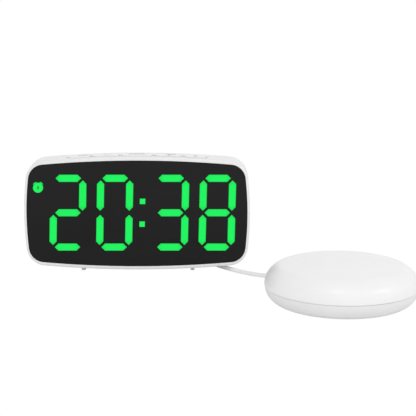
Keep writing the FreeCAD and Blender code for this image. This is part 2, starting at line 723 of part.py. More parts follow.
key_board = cut("key_board", key_plate, fuse("key_board_holes", *key_shanks))
key_board_screws = group("key_board_screws", *key_screws)

# ---------------------------------------------------------------- main board and jacks
BOARD_BACK = "(main_board_front + board_thick)"
INNER_BACK = "(case_depth - case_wall)"
main_plate = block(
    "main_plate", clock_frame, "(main_board_left + main_board_right) / 2", ("main_board_front", "main_board_low"),
    "main_board_right - main_board_left", "board_thick", "main_board_high - main_board_low",
)
main_posts = []
main_screws = []
main_shanks = []
for at in ("(main_board_left + 4)", "(main_board_right - 4)"):
    for up in ("(main_board_low + 4)", "(main_board_high - 4)"):
        tag = f"_{len(main_posts) + 1}"
        long = f"{INNER_BACK} - {BOARD_BACK} + case_wall / 4"
        main_posts.append(rod("main_post" + tag, clock_frame, at, BOARD_BACK, up, "post_radius", long, "Y"))
        head_at = "main_board_front - small_head_thick"
        head = rod("main_head" + tag, clock_frame, at, head_at, up, "small_head", "small_head_thick", "Y")
        shank = rod(
            "main_shank" + tag, clock_frame, at, "main_board_front", up, "small_shank", "small_reach", "Y",
        )
        main_shanks.append(shank)
        main_screws.append(fuse("main_screw" + tag, head, shank))
main_board = cut("main_board", main_plate, fuse("main_shanks", *main_shanks))
main_board_screws = group("main_board_screws", *main_screws)

CHIP = "1.4"
CAN = "6.2"
controller = block("controller", clock_frame, "-22", (f"main_board_front - {CHIP}", "34"), "10", CHIP, "10")
board_cans = [
    rod(f"capacitor_{number}", clock_frame, at, f"main_board_front - {CAN}", up, "2.5", CAN, "Y")
    for number, (at, up) in enumerate((("-36", "24"), ("-36", "32"), ("-44", "44")), 1)
]
board_parts = group("board_parts", controller, *board_cans)

JACK_LONG = f"({INNER_BACK} - {BOARD_BACK} - jack_gap)"
NOSE_AT = f"({BOARD_BACK} + {JACK_LONG})"


def jack(name, at, nose):
    """A jack body on the main board with a round nose through the rear cover."""
    low = f"jack_height - jack_tall / 2"
    box = block(name + "_box", clock_frame, at, (BOARD_BACK, low), "jack_wide", JACK_LONG, "jack_tall")
    nose_long = f"case_depth - {NOSE_AT}"
    tip = rod(name + "_nose", clock_frame, at, NOSE_AT, "jack_height", nose, nose_long, "Y")
    return fuse(name + "_outside", box, tip)


POWER_DEEP = "9.5"
power_bore = rod(
    "power_bore_space", clock_frame, "power_at", f"case_depth - {POWER_DEEP}", "jack_height",
    "power_bore", f"{POWER_DEEP} + 1", "Y",
)
power_pin = rod(
    "power_pin_rod", clock_frame, "power_at", f"case_depth - {POWER_DEEP} - 1", "jack_height",
    "power_pin", POWER_DEEP, "Y",
)
power_shell = cut("power_shell", jack("power", "power_at", "power_nose"), power_bore)
power_inlet = fuse("power_inlet", power_shell, power_pin)
pin_space = rod(
    "pin_space", clock_frame, "shaker_at", "case_depth - pin_reach - 0.3", "jack_height",
    "pin_radius + pin_gap", "pin_reach + 1", "Y",
)
shaker_jack = cut("shaker_jack", jack("shaker", "shaker_at", "shaker_nose"), pin_space)

RIBBON_UP = "-20"
display_ribbon = block(
    "display_ribbon", clock_frame, "8", (f"{MASK_BACK} + board_thick - 1.4", f"{FACE_Z} + {RIBBON_UP}"),
    "24", f"main_board_front - ({MASK_BACK} + board_thick - 1.4)", "1",
)
key_cable = block(
    "key_cable", clock_frame, "5", ("main_board_front + 0.3", "main_board_high"),
    "10", "1", f"{KEY_BOARD_TOP} - board_thick - main_board_high",
)

# ---------------------------------------------------------------- speaker
speaker = rod(
    "speaker", clock_frame, "0", f"{INNER_BACK} - speaker_thick", "speaker_height",
    "speaker_radius", "speaker_thick", "Y",
)
RING_WALL = "1.6"
ring_deep = "speaker_thick / 2 + case_wall / 4"
ring_front = f"{INNER_BACK} - speaker_thick / 2"
ring = rod(
    "speaker_ring_outside", clock_frame, "0", ring_front, "speaker_height",
    f"speaker_radius + {RING_WALL}", ring_deep, "Y",
)
sound_holes = [rod(
    "sound_hole", clock_frame, "0", f"{INNER_BACK} - 1", "speaker_height", "grille_hole", "case_wall + 2", "Y",
)]
for ring_number in (1, 2):
    for spoke in range(6 * ring_number):
        angle = f"({spoke} * 60 / {ring_number})"
        across = f"{ring_number} * grille_step * cos({angle})"
        up = f"speaker_height + {ring_number} * grille_step * sin({angle})"
        sound_holes.append(rod(
            f"sound_hole_{ring_number}_{spoke}", clock_frame, across, f"{INNER_BACK} - 1", up,
            "grille_hole", "case_wall + 2", "Y",
        ))

# ---------------------------------------------------------------- battery
DOOR_FRONT = "(case_depth - door_thick)"
FLOOR_SPACE = "(contact_thick + cell_gap)"
POCKET_FLOOR = f"({DOOR_FRONT} - cell_gap - cell_thick - {FLOOR_SPACE})"
RIM = "1.0"
battery_door = block(
    "battery_door_plate", clock_frame, "door_at", (DOOR_FRONT, "door_height - door_tall / 2"),
    "door_wide", "door_thick", "door_tall",
)
thumb_groove = rod(
    "thumb_groove", clock_frame, "door_at - 5", "case_depth + 0.9",
    "door_height + door_tall / 2 - 4", "1.6", "10", "X",
)
battery_door = cut("battery_door", battery_door, thumb_groove)
door_space = block(
    "door_space", clock_frame, "door_at", (f"{INNER_BACK} - 1", "door_height - door_tall / 2 - door_gap"),
    "door_wide + 2 * door_gap", "case_wall + 2", "door_tall + 2 * door_gap",
)
tub_outside = block(
    "tub_outside", clock_frame, "door_at",
    (f"{POCKET_FLOOR} - pocket_wall", f"door_height - door_tall / 2 - door_gap - {RIM}"),
    f"door_wide + 2 * door_gap + 2 * {RIM}", f"{DOOR_FRONT} - {POCKET_FLOOR} + pocket_wall",
    f"door_tall + 2 * door_gap + 2 * {RIM}",
)
tub_inside = block(
    "tub_inside", clock_frame, "door_at", (POCKET_FLOOR, f"door_height - door_tall / 2 + {RIM}"),
    f"door_wide - 2 * {RIM}", f"{DOOR_FRONT} - {POCKET_FLOOR} + 1", f"door_tall - 2 * {RIM}",
)
coin_cell = rod(
    "coin_cell", clock_frame, "door_at", f"{POCKET_FLOOR} + {FLOOR_SPACE}", "door_height",
    "cell_radius", "cell_thick", "Y",
)
floor_contact = block(
    "floor_contact", clock_frame, "door_at", (POCKET_FLOOR, "door_height - 3"), "14", "contact_thick", "6",
)
side_contact = block(
    "side_contact", clock_frame, f"door_at + door_wide / 2 - {RIM} - contact_thick / 2",
    (f"{POCKET_FLOOR} + {FLOOR_SPACE}", "door_height - 4"), "contact_thick", "cell_thick", "8",
)
battery_contacts = group("battery_contacts", floor_contact, side_contact)

# ---------------------------------------------------------------- feet
FOOT_LIFT = "(foot_height + top_bow - sqrt(top_bow ^ 2 - foot_spread ^ 2))"


def foot(tag, side, behind, sink):
    """A rubber foot with round ends, let into the case bottom."""
    at = f"{side}foot_spread"
    tall = f"{FOOT_LIFT} + {sink}"
    straight = "(foot_long - foot_wide)"
    low = (f"{behind} - {straight} / 2", "0")
    middle = block("foot_middle" + tag, clock_frame, at, low, "foot_wide", straight, tall)
    front = rod("foot_front_end" + tag, clock_frame, at, low[0], "0", "foot_wide / 2", tall)
    back = rod("foot_back_end" + tag, clock_frame, at, f"{behind} + {straight} / 2", "0", "foot_wide / 2", tall)
    return fuse("foot" + tag, middle, front, back)


front_feet = [foot(f"_front_{side or '+'}", side, "foot_front", "foot_pocket") for side in ("-", "")]
back_feet = [foot(f"_back_{side or '+'}", side, "foot_back", "foot_pocket_back") for side in ("-", "")]
rubber_feet = group("rubber_feet", *front_feet, *back_feet)

# ---------------------------------------------------------------- case screws and shells
housing_bosses = []
cover_bosses = []
housing_bores = []
cover_bores = []
case_screw_list = []
HEAD_TOP = "(case_depth - case_head_sink)"
HEAD_BASE = f"({HEAD_TOP} - case_head_thick)"
COVER_FRONT = "(split_depth + split_gap)"
for side in ("-", ""):
    for end in ("low", "high"):
        tag = ("_left_" if side else "_right_") + end
        at = f"{side}case_screw_at"
        up = f"case_screw_{end}"
        boss_long = "split_depth - case_boss_front"
        housing_bosses.append(rod(
            "housing_boss" + tag, clock_frame, at, "case_boss_front", up, "case_boss", boss_long, "Y",
        ))
        rib_wide = "(case_width / 2 - case_wall / 2 - case_screw_at)"
        rib_at = f"{side}(case_screw_at + {rib_wide} / 2)"
        rib_long = f"{boss_long} - lip_reach - screw_gap"
        housing_bosses.append(block(
            "housing_rib" + tag, clock_frame, rib_at, ("case_boss_front", f"{up} - case_wall / 2"),
            rib_wide, rib_long, "case_wall",
        ))
        cover_bosses.append(rod(
            "cover_boss" + tag, clock_frame, at, COVER_FRONT, up, "case_boss", f"{HEAD_TOP} - {COVER_FRONT}", "Y",
        ))
        shank_front = "(case_boss_front + 2)"
        shank = rod(
            "case_shank" + tag, clock_frame, at, shank_front, up, "case_shank", f"{HEAD_BASE} - {shank_front}", "Y",
        )
        head = rod("case_head" + tag, clock_frame, at, HEAD_BASE, up, "case_head", "case_head_thick", "Y")
        case_screw_list.append(fuse("case_screw" + tag, head, shank))
        housing_bores.append(shank)
        cover_bores.append(rod(
            "cover_bore" + tag, clock_frame, at, f"{COVER_FRONT} - 1", up, "case_shank + screw_gap", "case_depth", "Y",
        ))
        cover_bores.append(rod(
            "cover_counterbore" + tag, clock_frame, at, HEAD_BASE, up, "case_head + screw_gap", "case_depth", "Y",
        ))
case_screws = group("case_screws", *case_screw_list)

front_shell = common("front_shell", case_shell, case_block("front_space", "-20", "20 + split_depth"))
front_housing = cut(
    "front_housing",
    fuse("front_housing_solid", front_shell, *ear_posts, *key_posts, *housing_bosses),
    lens_pocket, window, *button_holes, *ear_holes, *key_shanks, *housing_bores, *front_feet,
)

lip_outside = new_body("lip_outside")
pad(
    lip_outside, "lip_outside_pad",
    barrel(
        lip_outside, "lip_outside_outline", "-(split_depth - lip_reach)", "case_wall + lip_gap",
        "case_wall + lip_gap", "case_corner - case_wall - lip_gap",
    ),
    "2 * lip_reach + split_gap",
)
place(lip_outside, clock_frame, "0", "0", FACE_Z)
lip_root = new_body("lip_root")
pad(
    lip_root, "lip_root_pad",
    barrel(
        lip_root, "lip_root_outline", f"-{COVER_FRONT}", "case_wall / 2", "case_wall / 2",
        "case_corner - case_wall / 2",
    ),
    "lip_reach",
)
place(lip_root, clock_frame, "0", "0", FACE_Z)
lip_inside = new_body("lip_inside")
pad(
    lip_inside, "lip_inside_pad",
    barrel(
        lip_inside, "lip_inside_outline", "-(split_depth - lip_reach - 1)", "case_wall + lip_gap + lip_wall",
        "case_wall + lip_gap + lip_wall", "case_corner - case_wall - lip_gap - lip_wall",
    ),
    "2 * lip_reach + split_gap + 2",
)
place(lip_inside, clock_frame, "0", "0", FACE_Z)
lip_space = case_block("lip_space", COVER_FRONT, "lip_reach")
lip_root_ring = common("lip_root_ring", lip_root, lip_space)
lip = cut("lip", fuse("lip_solid", lip_outside, lip_root_ring), lip_inside)

back_shell = common("back_shell", case_shell, case_block("back_space", COVER_FRONT, "case_depth"))
pocketed = cut("pocketed_back", back_shell, door_space)
tub = cut("tub", tub_outside, tub_inside)
nose_holes = [
    rod(f"{name}_nose_hole", clock_frame, at, f"{INNER_BACK} - jack_gap", "jack_height", f"{nose} + nose_gap",
        "case_wall + jack_gap + 1", "Y")
    for name, at, nose in (("power", "power_at", "power_nose"), ("shaker", "shaker_at", "shaker_nose"))
]
speaker_space = rod(
    "speaker_space", clock_frame, "0", f"{ring_front} - 1", "speaker_height",
    "speaker_radius", "speaker_thick / 2 + 1", "Y",
)
rear_cover = cut(
    "rear_cover",
    fuse("rear_cover_solid", pocketed, lip, tub, ring, *main_posts, *cover_bosses),
    speaker_space, *sound_holes, *nose_holes, *main_shanks, *cover_bores, *back_feet,
)


# ---------------------------------------------------------------- shaker shells
def puck_shell(name, radius, tall, round_by, flip):
    """A dished shell with a rounded shoulder, turned about the middle from the seam up."""
    body = new_body(name)
    sketch = new_sketch(body, name + "_profile", "XZ_Plane")
    shoulder = size(round_by)
    wall = size("puck_wall")
    middle = amount(radius) - shoulder
    height = amount(tall)
    crown = (middle ** 2 + height ** 2 - shoulder ** 2) / (2 * (height - shoulder))
    meet = math.atan2(crown - height, middle)
    top = math.pi / 2
    outer_shoulder = arc(sketch, (middle, 0), shoulder, 0, meet)
    outer_crown = arc(sketch, (0, height - crown), crown, meet, top)
    inner_shoulder = arc(sketch, (middle, 0), shoulder - wall, 0, meet)
    inner_crown = arc(sketch, (0, height - crown), crown - wall, meet, top)
    on_axis = sketch.addGeometry(
        Part.LineSegment(FreeCAD.Vector(0, height, 0), FreeCAD.Vector(0, height - wall, 0)), False,
    )
    on_seam = sketch.addGeometry(
        Part.LineSegment(FreeCAD.Vector(middle + shoulder - wall, 0, 0), FreeCAD.Vector(middle + shoulder, 0, 0)),
        False,
    )
    for kind, parts in (
        ("Tangent", (outer_shoulder, 2, outer_crown, 1)),
        ("Tangent", (inner_shoulder, 2, inner_crown, 1)),
        ("Coincident", (outer_crown, 2, on_axis, 1)),
        ("Coincident", (on_axis, 2, inner_crown, 2)),
        ("Coincident", (inner_shoulder, 1, on_seam, 1)),
        ("Coincident", (on_seam, 2, outer_shoulder, 1)),
        ("Coincident", (outer_shoulder, 3, inner_shoulder, 3)),
        ("Coincident", (outer_crown, 3, inner_crown, 3)),
        ("PointOnObject", (outer_shoulder, 3, -1)),
        ("PointOnObject", (outer_crown, 3, -2)),
        ("PointOnObject", (outer_shoulder, 1, -1)),
        ("PointOnObject", (inner_shoulder, 1, -1)),
        ("PointOnObject", (outer_crown, 2, -2)),
        ("PointOnObject", (inner_crown, 2, -2)),
    ):
        sketch.addConstraint(Sketcher.Constraint(kind, *parts))
    dimension(sketch, "DistanceX", (-1, 1, outer_shoulder, 3), f"{radius} - {round_by}")
    dimension(sketch, "Radius", (outer_shoulder,), round_by)
    dimension(sketch, "Radius", (inner_shoulder,), f"{round_by} - puck_wall")
    dimension(sketch, "DistanceY", (-1, 1, outer_crown, 2), tall)
    turned = body.newObject("PartDesign::Revolution", name + "_turned")
    turned.Profile = sketch
    turned.ReferenceAxis = (sketch, ["V_Axis"])
    turned.Angle = 360
    sketch.Visibility = False
    return place(body, puck_frame, "0", "0", "puck_seam", ABOUT_X, "180" if flip else "0")


upper_bowl = puck_shell("upper_bowl", "puck_diameter / 2", "puck_height - puck_seam", "puck_shoulder", False)
lower_bowl = puck_shell(
    "lower_bowl", "puck_diameter / 2 - puck_step", "puck_seam - puck_lift", "base_shoulder", True,
)

puck_screw_list = []
upper_bosses = []
lower_bosses = []
puck_shanks = []
puck_bores = []
for number, spoke in enumerate((30, 150, 270), 1):
    x = f"puck_screw_circle * cos({spoke})"
    y = f"puck_screw_circle * sin({spoke})"
    upper_long = "puck_height - puck_seam - puck_wall"
    upper_bosses.append(rod(f"upper_boss_{number}", puck_frame, x, y, "puck_seam", "puck_boss", upper_long))
    lower_bosses.append(rod(
        f"lower_boss_{number}", puck_frame, x, y, "puck_boss_low", "puck_boss", "puck_seam - puck_boss_low",
    ))
    head = rod(f"puck_head_{number}", puck_frame, x, y, "puck_screw_low", "case_head", "case_head_thick")
    shank_low = "(puck_screw_low + case_head_thick)"
    shank = rod(
        f"puck_shank_{number}", puck_frame, x, y, shank_low, "case_shank", f"puck_seam + 6 - {shank_low}",
    )
    puck_screw_list.append(fuse(f"puck_screw_{number}", head, shank))
    puck_shanks.append(shank)
    puck_bores.append(rod(
        f"puck_bore_{number}", puck_frame, x, y, "0", "case_shank + screw_gap", "puck_seam + 1",
    ))
    puck_bores.append(rod(
        f"puck_counterbore_{number}", puck_frame, x, y, "0", "case_head + screw_gap", shank_low,
    ))
puck_screws = group("puck_screws", *puck_screw_list)
puck_top_shell = cut("puck_top_shell", fuse("puck_top_solid", upper_bowl, *upper_bosses), *puck_shanks)

# ---------------------------------------------------------------- shaker motor
MOTOR_LOW = "(motor_height - motor_radius)"
motor_solid = rod(
    "motor_solid", puck_frame, "motor_left", "0", "motor_height", "motor_radius", "motor_long", "X",
)
MOTOR_RIGHT = "(motor_left + motor_long)"
shaft_space = rod(
    "shaft_space", puck_frame, f"{MOTOR_RIGHT} - shaft_inside - 0.2", "0", "motor_height",
    "shaft_radius + shaft_gap", "shaft_inside + 1", "X",
)
puck_motor = cut("puck_motor", motor_solid, shaft_space)
motor_shaft = rod(
    "motor_shaft", puck_frame, f"{MOTOR_RIGHT} - shaft_inside", "0", "motor_height", "shaft_radius", "shaft_long",
    "X",
)
WEIGHT_LEFT = f"({MOTOR_RIGHT} + weight_start)"
weight_disc = rod(
    "weight_disc", puck_frame, WEIGHT_LEFT, "0", "motor_height", "weight_radius", "weight_long", "X",
)
weight_half = common("weight_half", weight_disc, block(
    "weight_side", puck_frame, f"{WEIGHT_LEFT} + weight_long / 2",
    ("-weight_radius - 1", "motor_height - weight_radius - 1"),
    "weight_long + 2", "2 * weight_radius + 2", "weight_radius + 1",
))
weight_hub = rod(
    "weight_hub_rod", puck_frame, WEIGHT_LEFT, "0", "motor_height", "weight_hub", "weight_long", "X",
)
eccentric_weight = cut("eccentric_weight", fuse("weight_solid", weight_half, weight_hub), motor_shaft)

CLAMP_AT = "(motor_left + motor_long / 2)"
CLAMP_LOW = "(puck_lift + puck_wall + 4)"
CLAMP_OUT = "(motor_radius + clamp_thick)"
arch = common(
    "clamp_arch",
    rod("clamp_round", puck_frame, f"{CLAMP_AT} - clamp_wide / 2", "0", "motor_height", CLAMP_OUT, "clamp_wide", "X"),
    block("clamp_upper", puck_frame, CLAMP_AT, (f"-{CLAMP_OUT}", "motor_height"),
          "clamp_wide", f"2 * {CLAMP_OUT}", CLAMP_OUT),
)
legs = block(
    "clamp_legs", puck_frame, CLAMP_AT, (f"-{CLAMP_OUT}", CLAMP_LOW),
    "clamp_wide", f"2 * {CLAMP_OUT}", f"motor_height - {CLAMP_LOW}",
)
leg_space = block(
    "clamp_leg_space", puck_frame, CLAMP_AT, ("-motor_radius", f"{CLAMP_LOW} - 1"),
    "clamp_wide + 2", "2 * motor_radius", f"motor_height - {CLAMP_LOW} + 1",
)
clamp_feet = block(
    "clamp_feet", puck_frame, CLAMP_AT, (f"-{CLAMP_OUT} - clamp_foot", CLAMP_LOW),
    "clamp_wide", f"2 * ({CLAMP_OUT} + clamp_foot)", "clamp_thick",
)
clamp_solid = fuse("clamp_solid", arch, cut("clamp_leg_pair", fuse("clamp_low", legs, clamp_feet), leg_space))
clamp_screw_list = []
clamp_shanks = []
clamp_posts = []
for side in ("-", ""):
    tag = "front" if side else "back"
    y = f"{side}({CLAMP_OUT} + clamp_foot / 2)"
    post_low = "(puck_lift + puck_wall)"
    clamp_posts.append(rod(
        "clamp_post_" + tag, puck_frame, CLAMP_AT, y, post_low, "post_radius", f"{CLAMP_LOW} - {post_low}",
    ))
    head_low = f"({CLAMP_LOW} + clamp_thick)"
    head = rod("clamp_head_" + tag, puck_frame, CLAMP_AT, y, head_low, "small_head", "small_head_thick")
    shank = rod(
        "clamp_shank_" + tag, puck_frame, CLAMP_AT, y, f"{head_low} - small_reach", "small_shank", "small_reach",
    )
    clamp_shanks.append(shank)
    clamp_screw_list.append(fuse("clamp_screw_" + tag, head, shank))
motor_clamp = cut("motor_clamp", clamp_solid, motor_solid, *clamp_shanks)
clamp_screws = group("clamp_screws", *clamp_screw_list)
cradle = block(
    "cradle", puck_frame, CLAMP_AT, ("-motor_radius * 0.8", "puck_lift + puck_wall"),
    "clamp_wide", "motor_radius * 1.6", "motor_height - motor_radius / 2 - puck_lift - puck_wall",
)

# ---------------------------------------------------------------- shaker pads and cord relief
pads = []
for number, spoke in enumerate((90, 210, 330), 1):
    x = f"pad_circle * cos({spoke})"
    y = f"pad_circle * sin({spoke})"
    pads.append(rod(f"pad_{number}", puck_frame, x, y, "0", "pad_radius", "pad_tall"))
puck_pads = group("puck_pads", *pads)

exit_turn = math.radians(size("exit_angle"))
EXIT_AXIS = (-math.sin(exit_turn), math.cos(exit_turn), 0)


def along_exit(name, start, length, radius, tip=None):
    """A cylinder or cone that runs straight out of the shaker along the cord's exit."""
    kind = "Part::Cone" if tip else "Part::Cylinder"
    shape = bind(doc.addObject(kind, name), Height=length)
    if tip:
        bind(shape, Radius1=radius, Radius2=tip)
    else:
        bind(shape, Radius=radius)
    place(shape, puck_frame, f"({start}) * cos(exit_angle)", f"({start}) * sin(exit_angle)", "exit_height",
          EXIT_AXIS, "90")
    return shape


relief_hole = along_exit(
    "relief_hole", "relief_start - 1", "relief_straight - relief_start + 6", "relief_root + relief_gap",
)
cord_relief = fuse(
    "cord_relief",
    along_exit("relief_collar", "relief_start", "relief_straight - relief_start", "relief_root"),
    along_exit("relief_taper", "relief_straight", "exit_reach - relief_straight", "relief_root", "relief_tip"),
)
puck_base_shell = cut(
    "puck_base_shell",
    fuse("puck_base_solid", lower_bowl, cradle, *clamp_posts, *lower_bosses),
    motor_solid, relief_hole, *puck_bores, *clamp_shanks, *pads,
)

# ---------------------------------------------------------------- plug
PLUG_AT = "(case_depth + plug_stop)"
plug_pin = rod(
    "plug_pin", clock_frame, "shaker_at", "case_depth - pin_reach", "jack_height", "pin_radius",
    "pin_reach + plug_stop", "Y",
)
plug_barrel = rod(
    "plug_barrel", clock_frame, "shaker_at", PLUG_AT, "jack_height", "plug_radius", "plug_long", "Y",
)
plug_cone = bind(
    doc.addObject("Part::Cone", "plug_cone"), Radius1="relief_root", Radius2="relief_tip", Height="plug_tail",
)
place(plug_cone, clock_frame, "shaker_at", f"{PLUG_AT} + plug_long", "jack_height", ABOUT_X, "-90")
plug_body = fuse("plug_body", plug_barrel, plug_cone)

# ---------------------------------------------------------------- cord
# Both routes are in the part's own axes. The first leaves the shaker, drops to the
# table and runs under the clock's right end to the coil. The second leaves the top
# of the coil for the plug.
RUN_ROUTE = [
    (52.3, 12.43, 7.0),
    (47.53, 20.06, 7.0),
    (37.9, 33.5, 1.5),
    (12.1, 55.6, 1.5),
    (-2.6, 77.4, 1.5),
    (-18.9, 101.2, 1.5),
    (-40.0, 126.6, 1.5),
    (-56.0, 144.95, 1.5),
]
LEAD_ROUTE = [
    (-93.1, 131.45, 10.5),
    (-93.1, 123.2, 10.6),
    (-93.1, 114.8, 15.0),
    (-93.1, 106.75, 15.0),
]
BEND_SHARE = 0.45


def tube(name, route):
    """A round tube along straight runs joined by the largest tangent arcs that fit."""
    points = [FreeCAD.Vector(*point) for point in route]
    edges = []
    radii = []
    start = points[0]
    for before, corner, after in zip(points, points[1:], points[2:]):
        inward = (corner - before).normalize()
        outward = (after - corner).normalize()
        half_turn = inward.getAngle(outward) / 2
        trim = BEND_SHARE * min(corner.distanceToPoint(before), corner.distanceToPoint(after))
        radii.append(trim / math.tan(half_turn))
        first = corner - inward * trim
        last = corner + outward * trim
        bisector = (outward - inward).normalize()
        to_centre = radii[-1] / math.cos(half_turn)
        middle = corner + bisector * (to_centre - radii[-1])
        edges.append(Part.LineSegment(start, first).toShape())
        edges.append(Part.Arc(first, middle, last).toShape())
        start = last
    edges.append(Part.LineSegment(start, points[-1]).toShape())
    path = Part.Wire(edges)
    radius = size("cord_diameter") / 2
    ring = Part.Wire(Part.Circle(points[0], points[1] - points[0], radius).toShape())
    feature = doc.addObject("Part::Feature", name)
    feature.Shape = path.makePipeShell([ring], True, False)
    expected = math.pi * radius ** 2 * path.Length
    print(f"{name}: {path.Length:.1f} mm, radii {[round(bend, 1) for bend in radii]}, "
          f"volume {feature.Shape.Volume:.1f} of {expected:.1f}")
    if abs(feature.Shape.Volume / expected - 1) > 0.01:
        raise ValueError(name + " is not a full tube")
    return feature


cord_run = tube("cord_run", RUN_ROUTE)
cord_lead = tube("cord_lead", LEAD_ROUTE)

coil_ring = rod("coil_ring", clock_frame, "coil_at", "coil_behind", "0", "coil_outer", "coil_tall")
coil_hole = rod("coil_hole", clock_frame, "coil_at", "coil_behind", "-1", "coil_inner", "coil_tall + 2")
COIL_MIDDLE = "(coil_at + (coil_inner + coil_outer) / 2)"
tie_outside = block(
    "tie_outside", clock_frame, COIL_MIDDLE, ("coil_behind - tie_wide / 2", "0"),
    "coil_outer - coil_inner + 2 * tie_thick", "tie_wide", "coil_tall + tie_thick",
)
tie_inside = block(
    "tie_inside", clock_frame, COIL_MIDDLE, ("coil_behind - tie_wide / 2 - 1", "tie_thick"),
    "coil_outer - coil_inner", "tie_wide + 2", "coil_tall - tie_thick",
)
coil_tie = cut("coil_tie", tie_outside, tie_inside)
cord_coil = cut("cord_coil", cut("coil_plain", coil_ring, coil_hole), coil_tie)

# ---------------------------------------------------------------- writing
NODES = [
    "front_housing", "rear_cover", "display_lens", "display_mask", "segment_diffusers", "segment_leds",
    "display_board", "display_board_screws", "display_ribbon",
    "alarm_button", "minus_button", "snooze_button", "plus_button", "light_button",
    "alarm_plunger", "minus_plunger", "snooze_plunger", "plus_plunger", "light_plunger",
    "tact_switches", "key_board", "key_board_screws", "key_cable",
    "main_board", "main_board_screws", "board_parts", "power_inlet", "shaker_jack", "speaker",
    "battery_door", "coin_cell", "battery_contacts", "case_screws", "rubber_feet",
    "puck_top_shell", "puck_base_shell", "puck_screws", "puck_motor", "motor_shaft", "eccentric_weight",
    "motor_clamp", "clamp_screws", "puck_pads", "cord_relief",
    "cord_run", "cord_coil", "coil_tie", "cord_lead", "plug_body", "plug_pin",
]
doc.recompute()
for thing in doc.Objects:
    for state in thing.State:
        if state in ("Invalid", "Error"):
            raise RuntimeError(f"{thing.Label} is {state}")
os.makedirs("parts", exist_ok=True)
for name in NODES:
    node = doc.getObjectsByLabel(name)[0]
    if node.Shape.isNull() or not node.Shape.isValid() or not node.Shape.Solids:
        raise RuntimeError(name + " is not a valid solid")
for name in NODES:
    doc.getObjectsByLabel(name)[0].Shape.exportStep(f"parts/{name}.step")
print(len(NODES), "nodes")
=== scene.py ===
import bpy
import bmesh
import json
import math
from functools import partial
from mathutils import Matrix, Vector
from mathutils.bvhtree import BVHTree

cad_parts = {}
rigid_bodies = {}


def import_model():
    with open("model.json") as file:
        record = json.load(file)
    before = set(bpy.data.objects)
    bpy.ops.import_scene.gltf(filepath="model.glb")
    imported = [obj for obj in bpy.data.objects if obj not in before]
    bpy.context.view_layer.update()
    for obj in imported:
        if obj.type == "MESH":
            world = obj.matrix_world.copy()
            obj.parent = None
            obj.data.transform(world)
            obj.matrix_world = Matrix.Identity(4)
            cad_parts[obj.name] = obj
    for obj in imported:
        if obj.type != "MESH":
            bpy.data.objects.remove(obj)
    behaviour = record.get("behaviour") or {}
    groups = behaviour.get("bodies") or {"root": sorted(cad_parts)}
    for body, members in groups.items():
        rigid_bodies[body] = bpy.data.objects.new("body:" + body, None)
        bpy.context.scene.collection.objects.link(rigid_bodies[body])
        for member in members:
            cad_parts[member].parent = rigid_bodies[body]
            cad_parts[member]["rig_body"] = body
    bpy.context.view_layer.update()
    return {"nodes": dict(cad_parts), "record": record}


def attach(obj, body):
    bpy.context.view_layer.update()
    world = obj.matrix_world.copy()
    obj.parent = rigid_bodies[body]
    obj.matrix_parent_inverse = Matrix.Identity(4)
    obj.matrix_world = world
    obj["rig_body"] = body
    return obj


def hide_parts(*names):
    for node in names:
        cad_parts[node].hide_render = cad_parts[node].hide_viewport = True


# Lengths are in metres and angles in degrees, unless a note says otherwise.
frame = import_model()
cadNodes = frame["nodes"]
sceneRoot = bpy.context.scene
print("frame loaded,", len(cadNodes), "solids")


def addObject(name, data):
    thing = bpy.data.objects.new(name, data)
    sceneRoot.collection.objects.link(thing)
    return thing


def onOval(middle, wide, tall, turn):
    # the point of an oval at a turn in radians
    return middle[0] + wide * math.cos(turn), middle[1] + tall * math.sin(turn)


# The camera.
cameraSetup = {
    "place": (-0.00224, -0.80329, 0.2230),
    "tilt": 78.387,  # up from straight down
    "lens": 105.8,  # millimetres, as the sensor
    "sensor": 36.0,
}
cameraData = bpy.data.cameras.new("mainCamera")
cameraData.lens = cameraSetup["lens"]
cameraData.sensor_width = cameraSetup["sensor"]
cameraObject = addObject("mainCamera", cameraData)
cameraObject.location = cameraSetup["place"]
cameraObject.rotation_euler = (math.radians(cameraSetup["tilt"]), 0, 0)
sceneRoot.camera = cameraObject


# Small helpers for node trees.
def feed(tree, node, name, value):
    # value is a number, a tuple, a material, or another node's output
    socket = node.inputs[name]
    if isinstance(value, bpy.types.NodeSocket):
        tree.links.new(value, socket)
    else:
        socket.default_value = value


def addNode(tree, kind, inputs=None, **settings):
    # settings are the node's own choices, and inputs go to its sockets by name or by number
    node = tree.nodes.new(kind)
    for key, value in settings.items():
        setattr(node, key, value)
    for name, value in (inputs or {}).items():
        feed(tree, node, name, value)
    return node


def calc(tree, operation, *values):
    return addNode(tree, "ShaderNodeMath", dict(enumerate(values)), operation=operation).outputs[0]


def arithmetic(tree):
    # add, minus, times and over, for the sums of one tree
    return [partial(calc, tree, kind) for kind in ("ADD", "SUBTRACT", "MULTIPLY", "DIVIDE")]


def combine(tree, **parts):
    return addNode(tree, "ShaderNodeCombineXYZ", parts).outputs[0]


def split(tree, value):
    return addNode(tree, "ShaderNodeSeparateXYZ", {0: value}).outputs


def noise(tree, scale, detail=3.0, stretch=None):
    where = addNode(tree, "ShaderNodeTexCoord").outputs["Object"]
    if stretch:
        where = addNode(tree, "ShaderNodeMapping", {"Vector": where, "Scale": stretch}).outputs[0]
    inputs = {"Vector": where, "Scale": scale, "Detail": detail, "Roughness": 0.55}
    return addNode(tree, "ShaderNodeTexNoise", inputs).outputs["Fac"]


def spread(tree, value, low, high, fromLow=0.3, fromHigh=0.7):
    # noise lies mostly between 0.3 and 0.7, so that is the usual range to spread
    inputs = {"Value": value, "From Min": fromLow, "From Max": fromHigh, "To Min": low, "To Max": high}
    return addNode(tree, "ShaderNodeMapRange", inputs).outputs[0]


def blendColours(tree, amount, *colours):
    first, second = [c if isinstance(c, bpy.types.NodeSocket) else (*c, 1.0) for c in colours]
    return addNode(tree, "ShaderNodeMix", {0: amount, 6: first, 7: second}, data_type="RGBA").outputs[2]


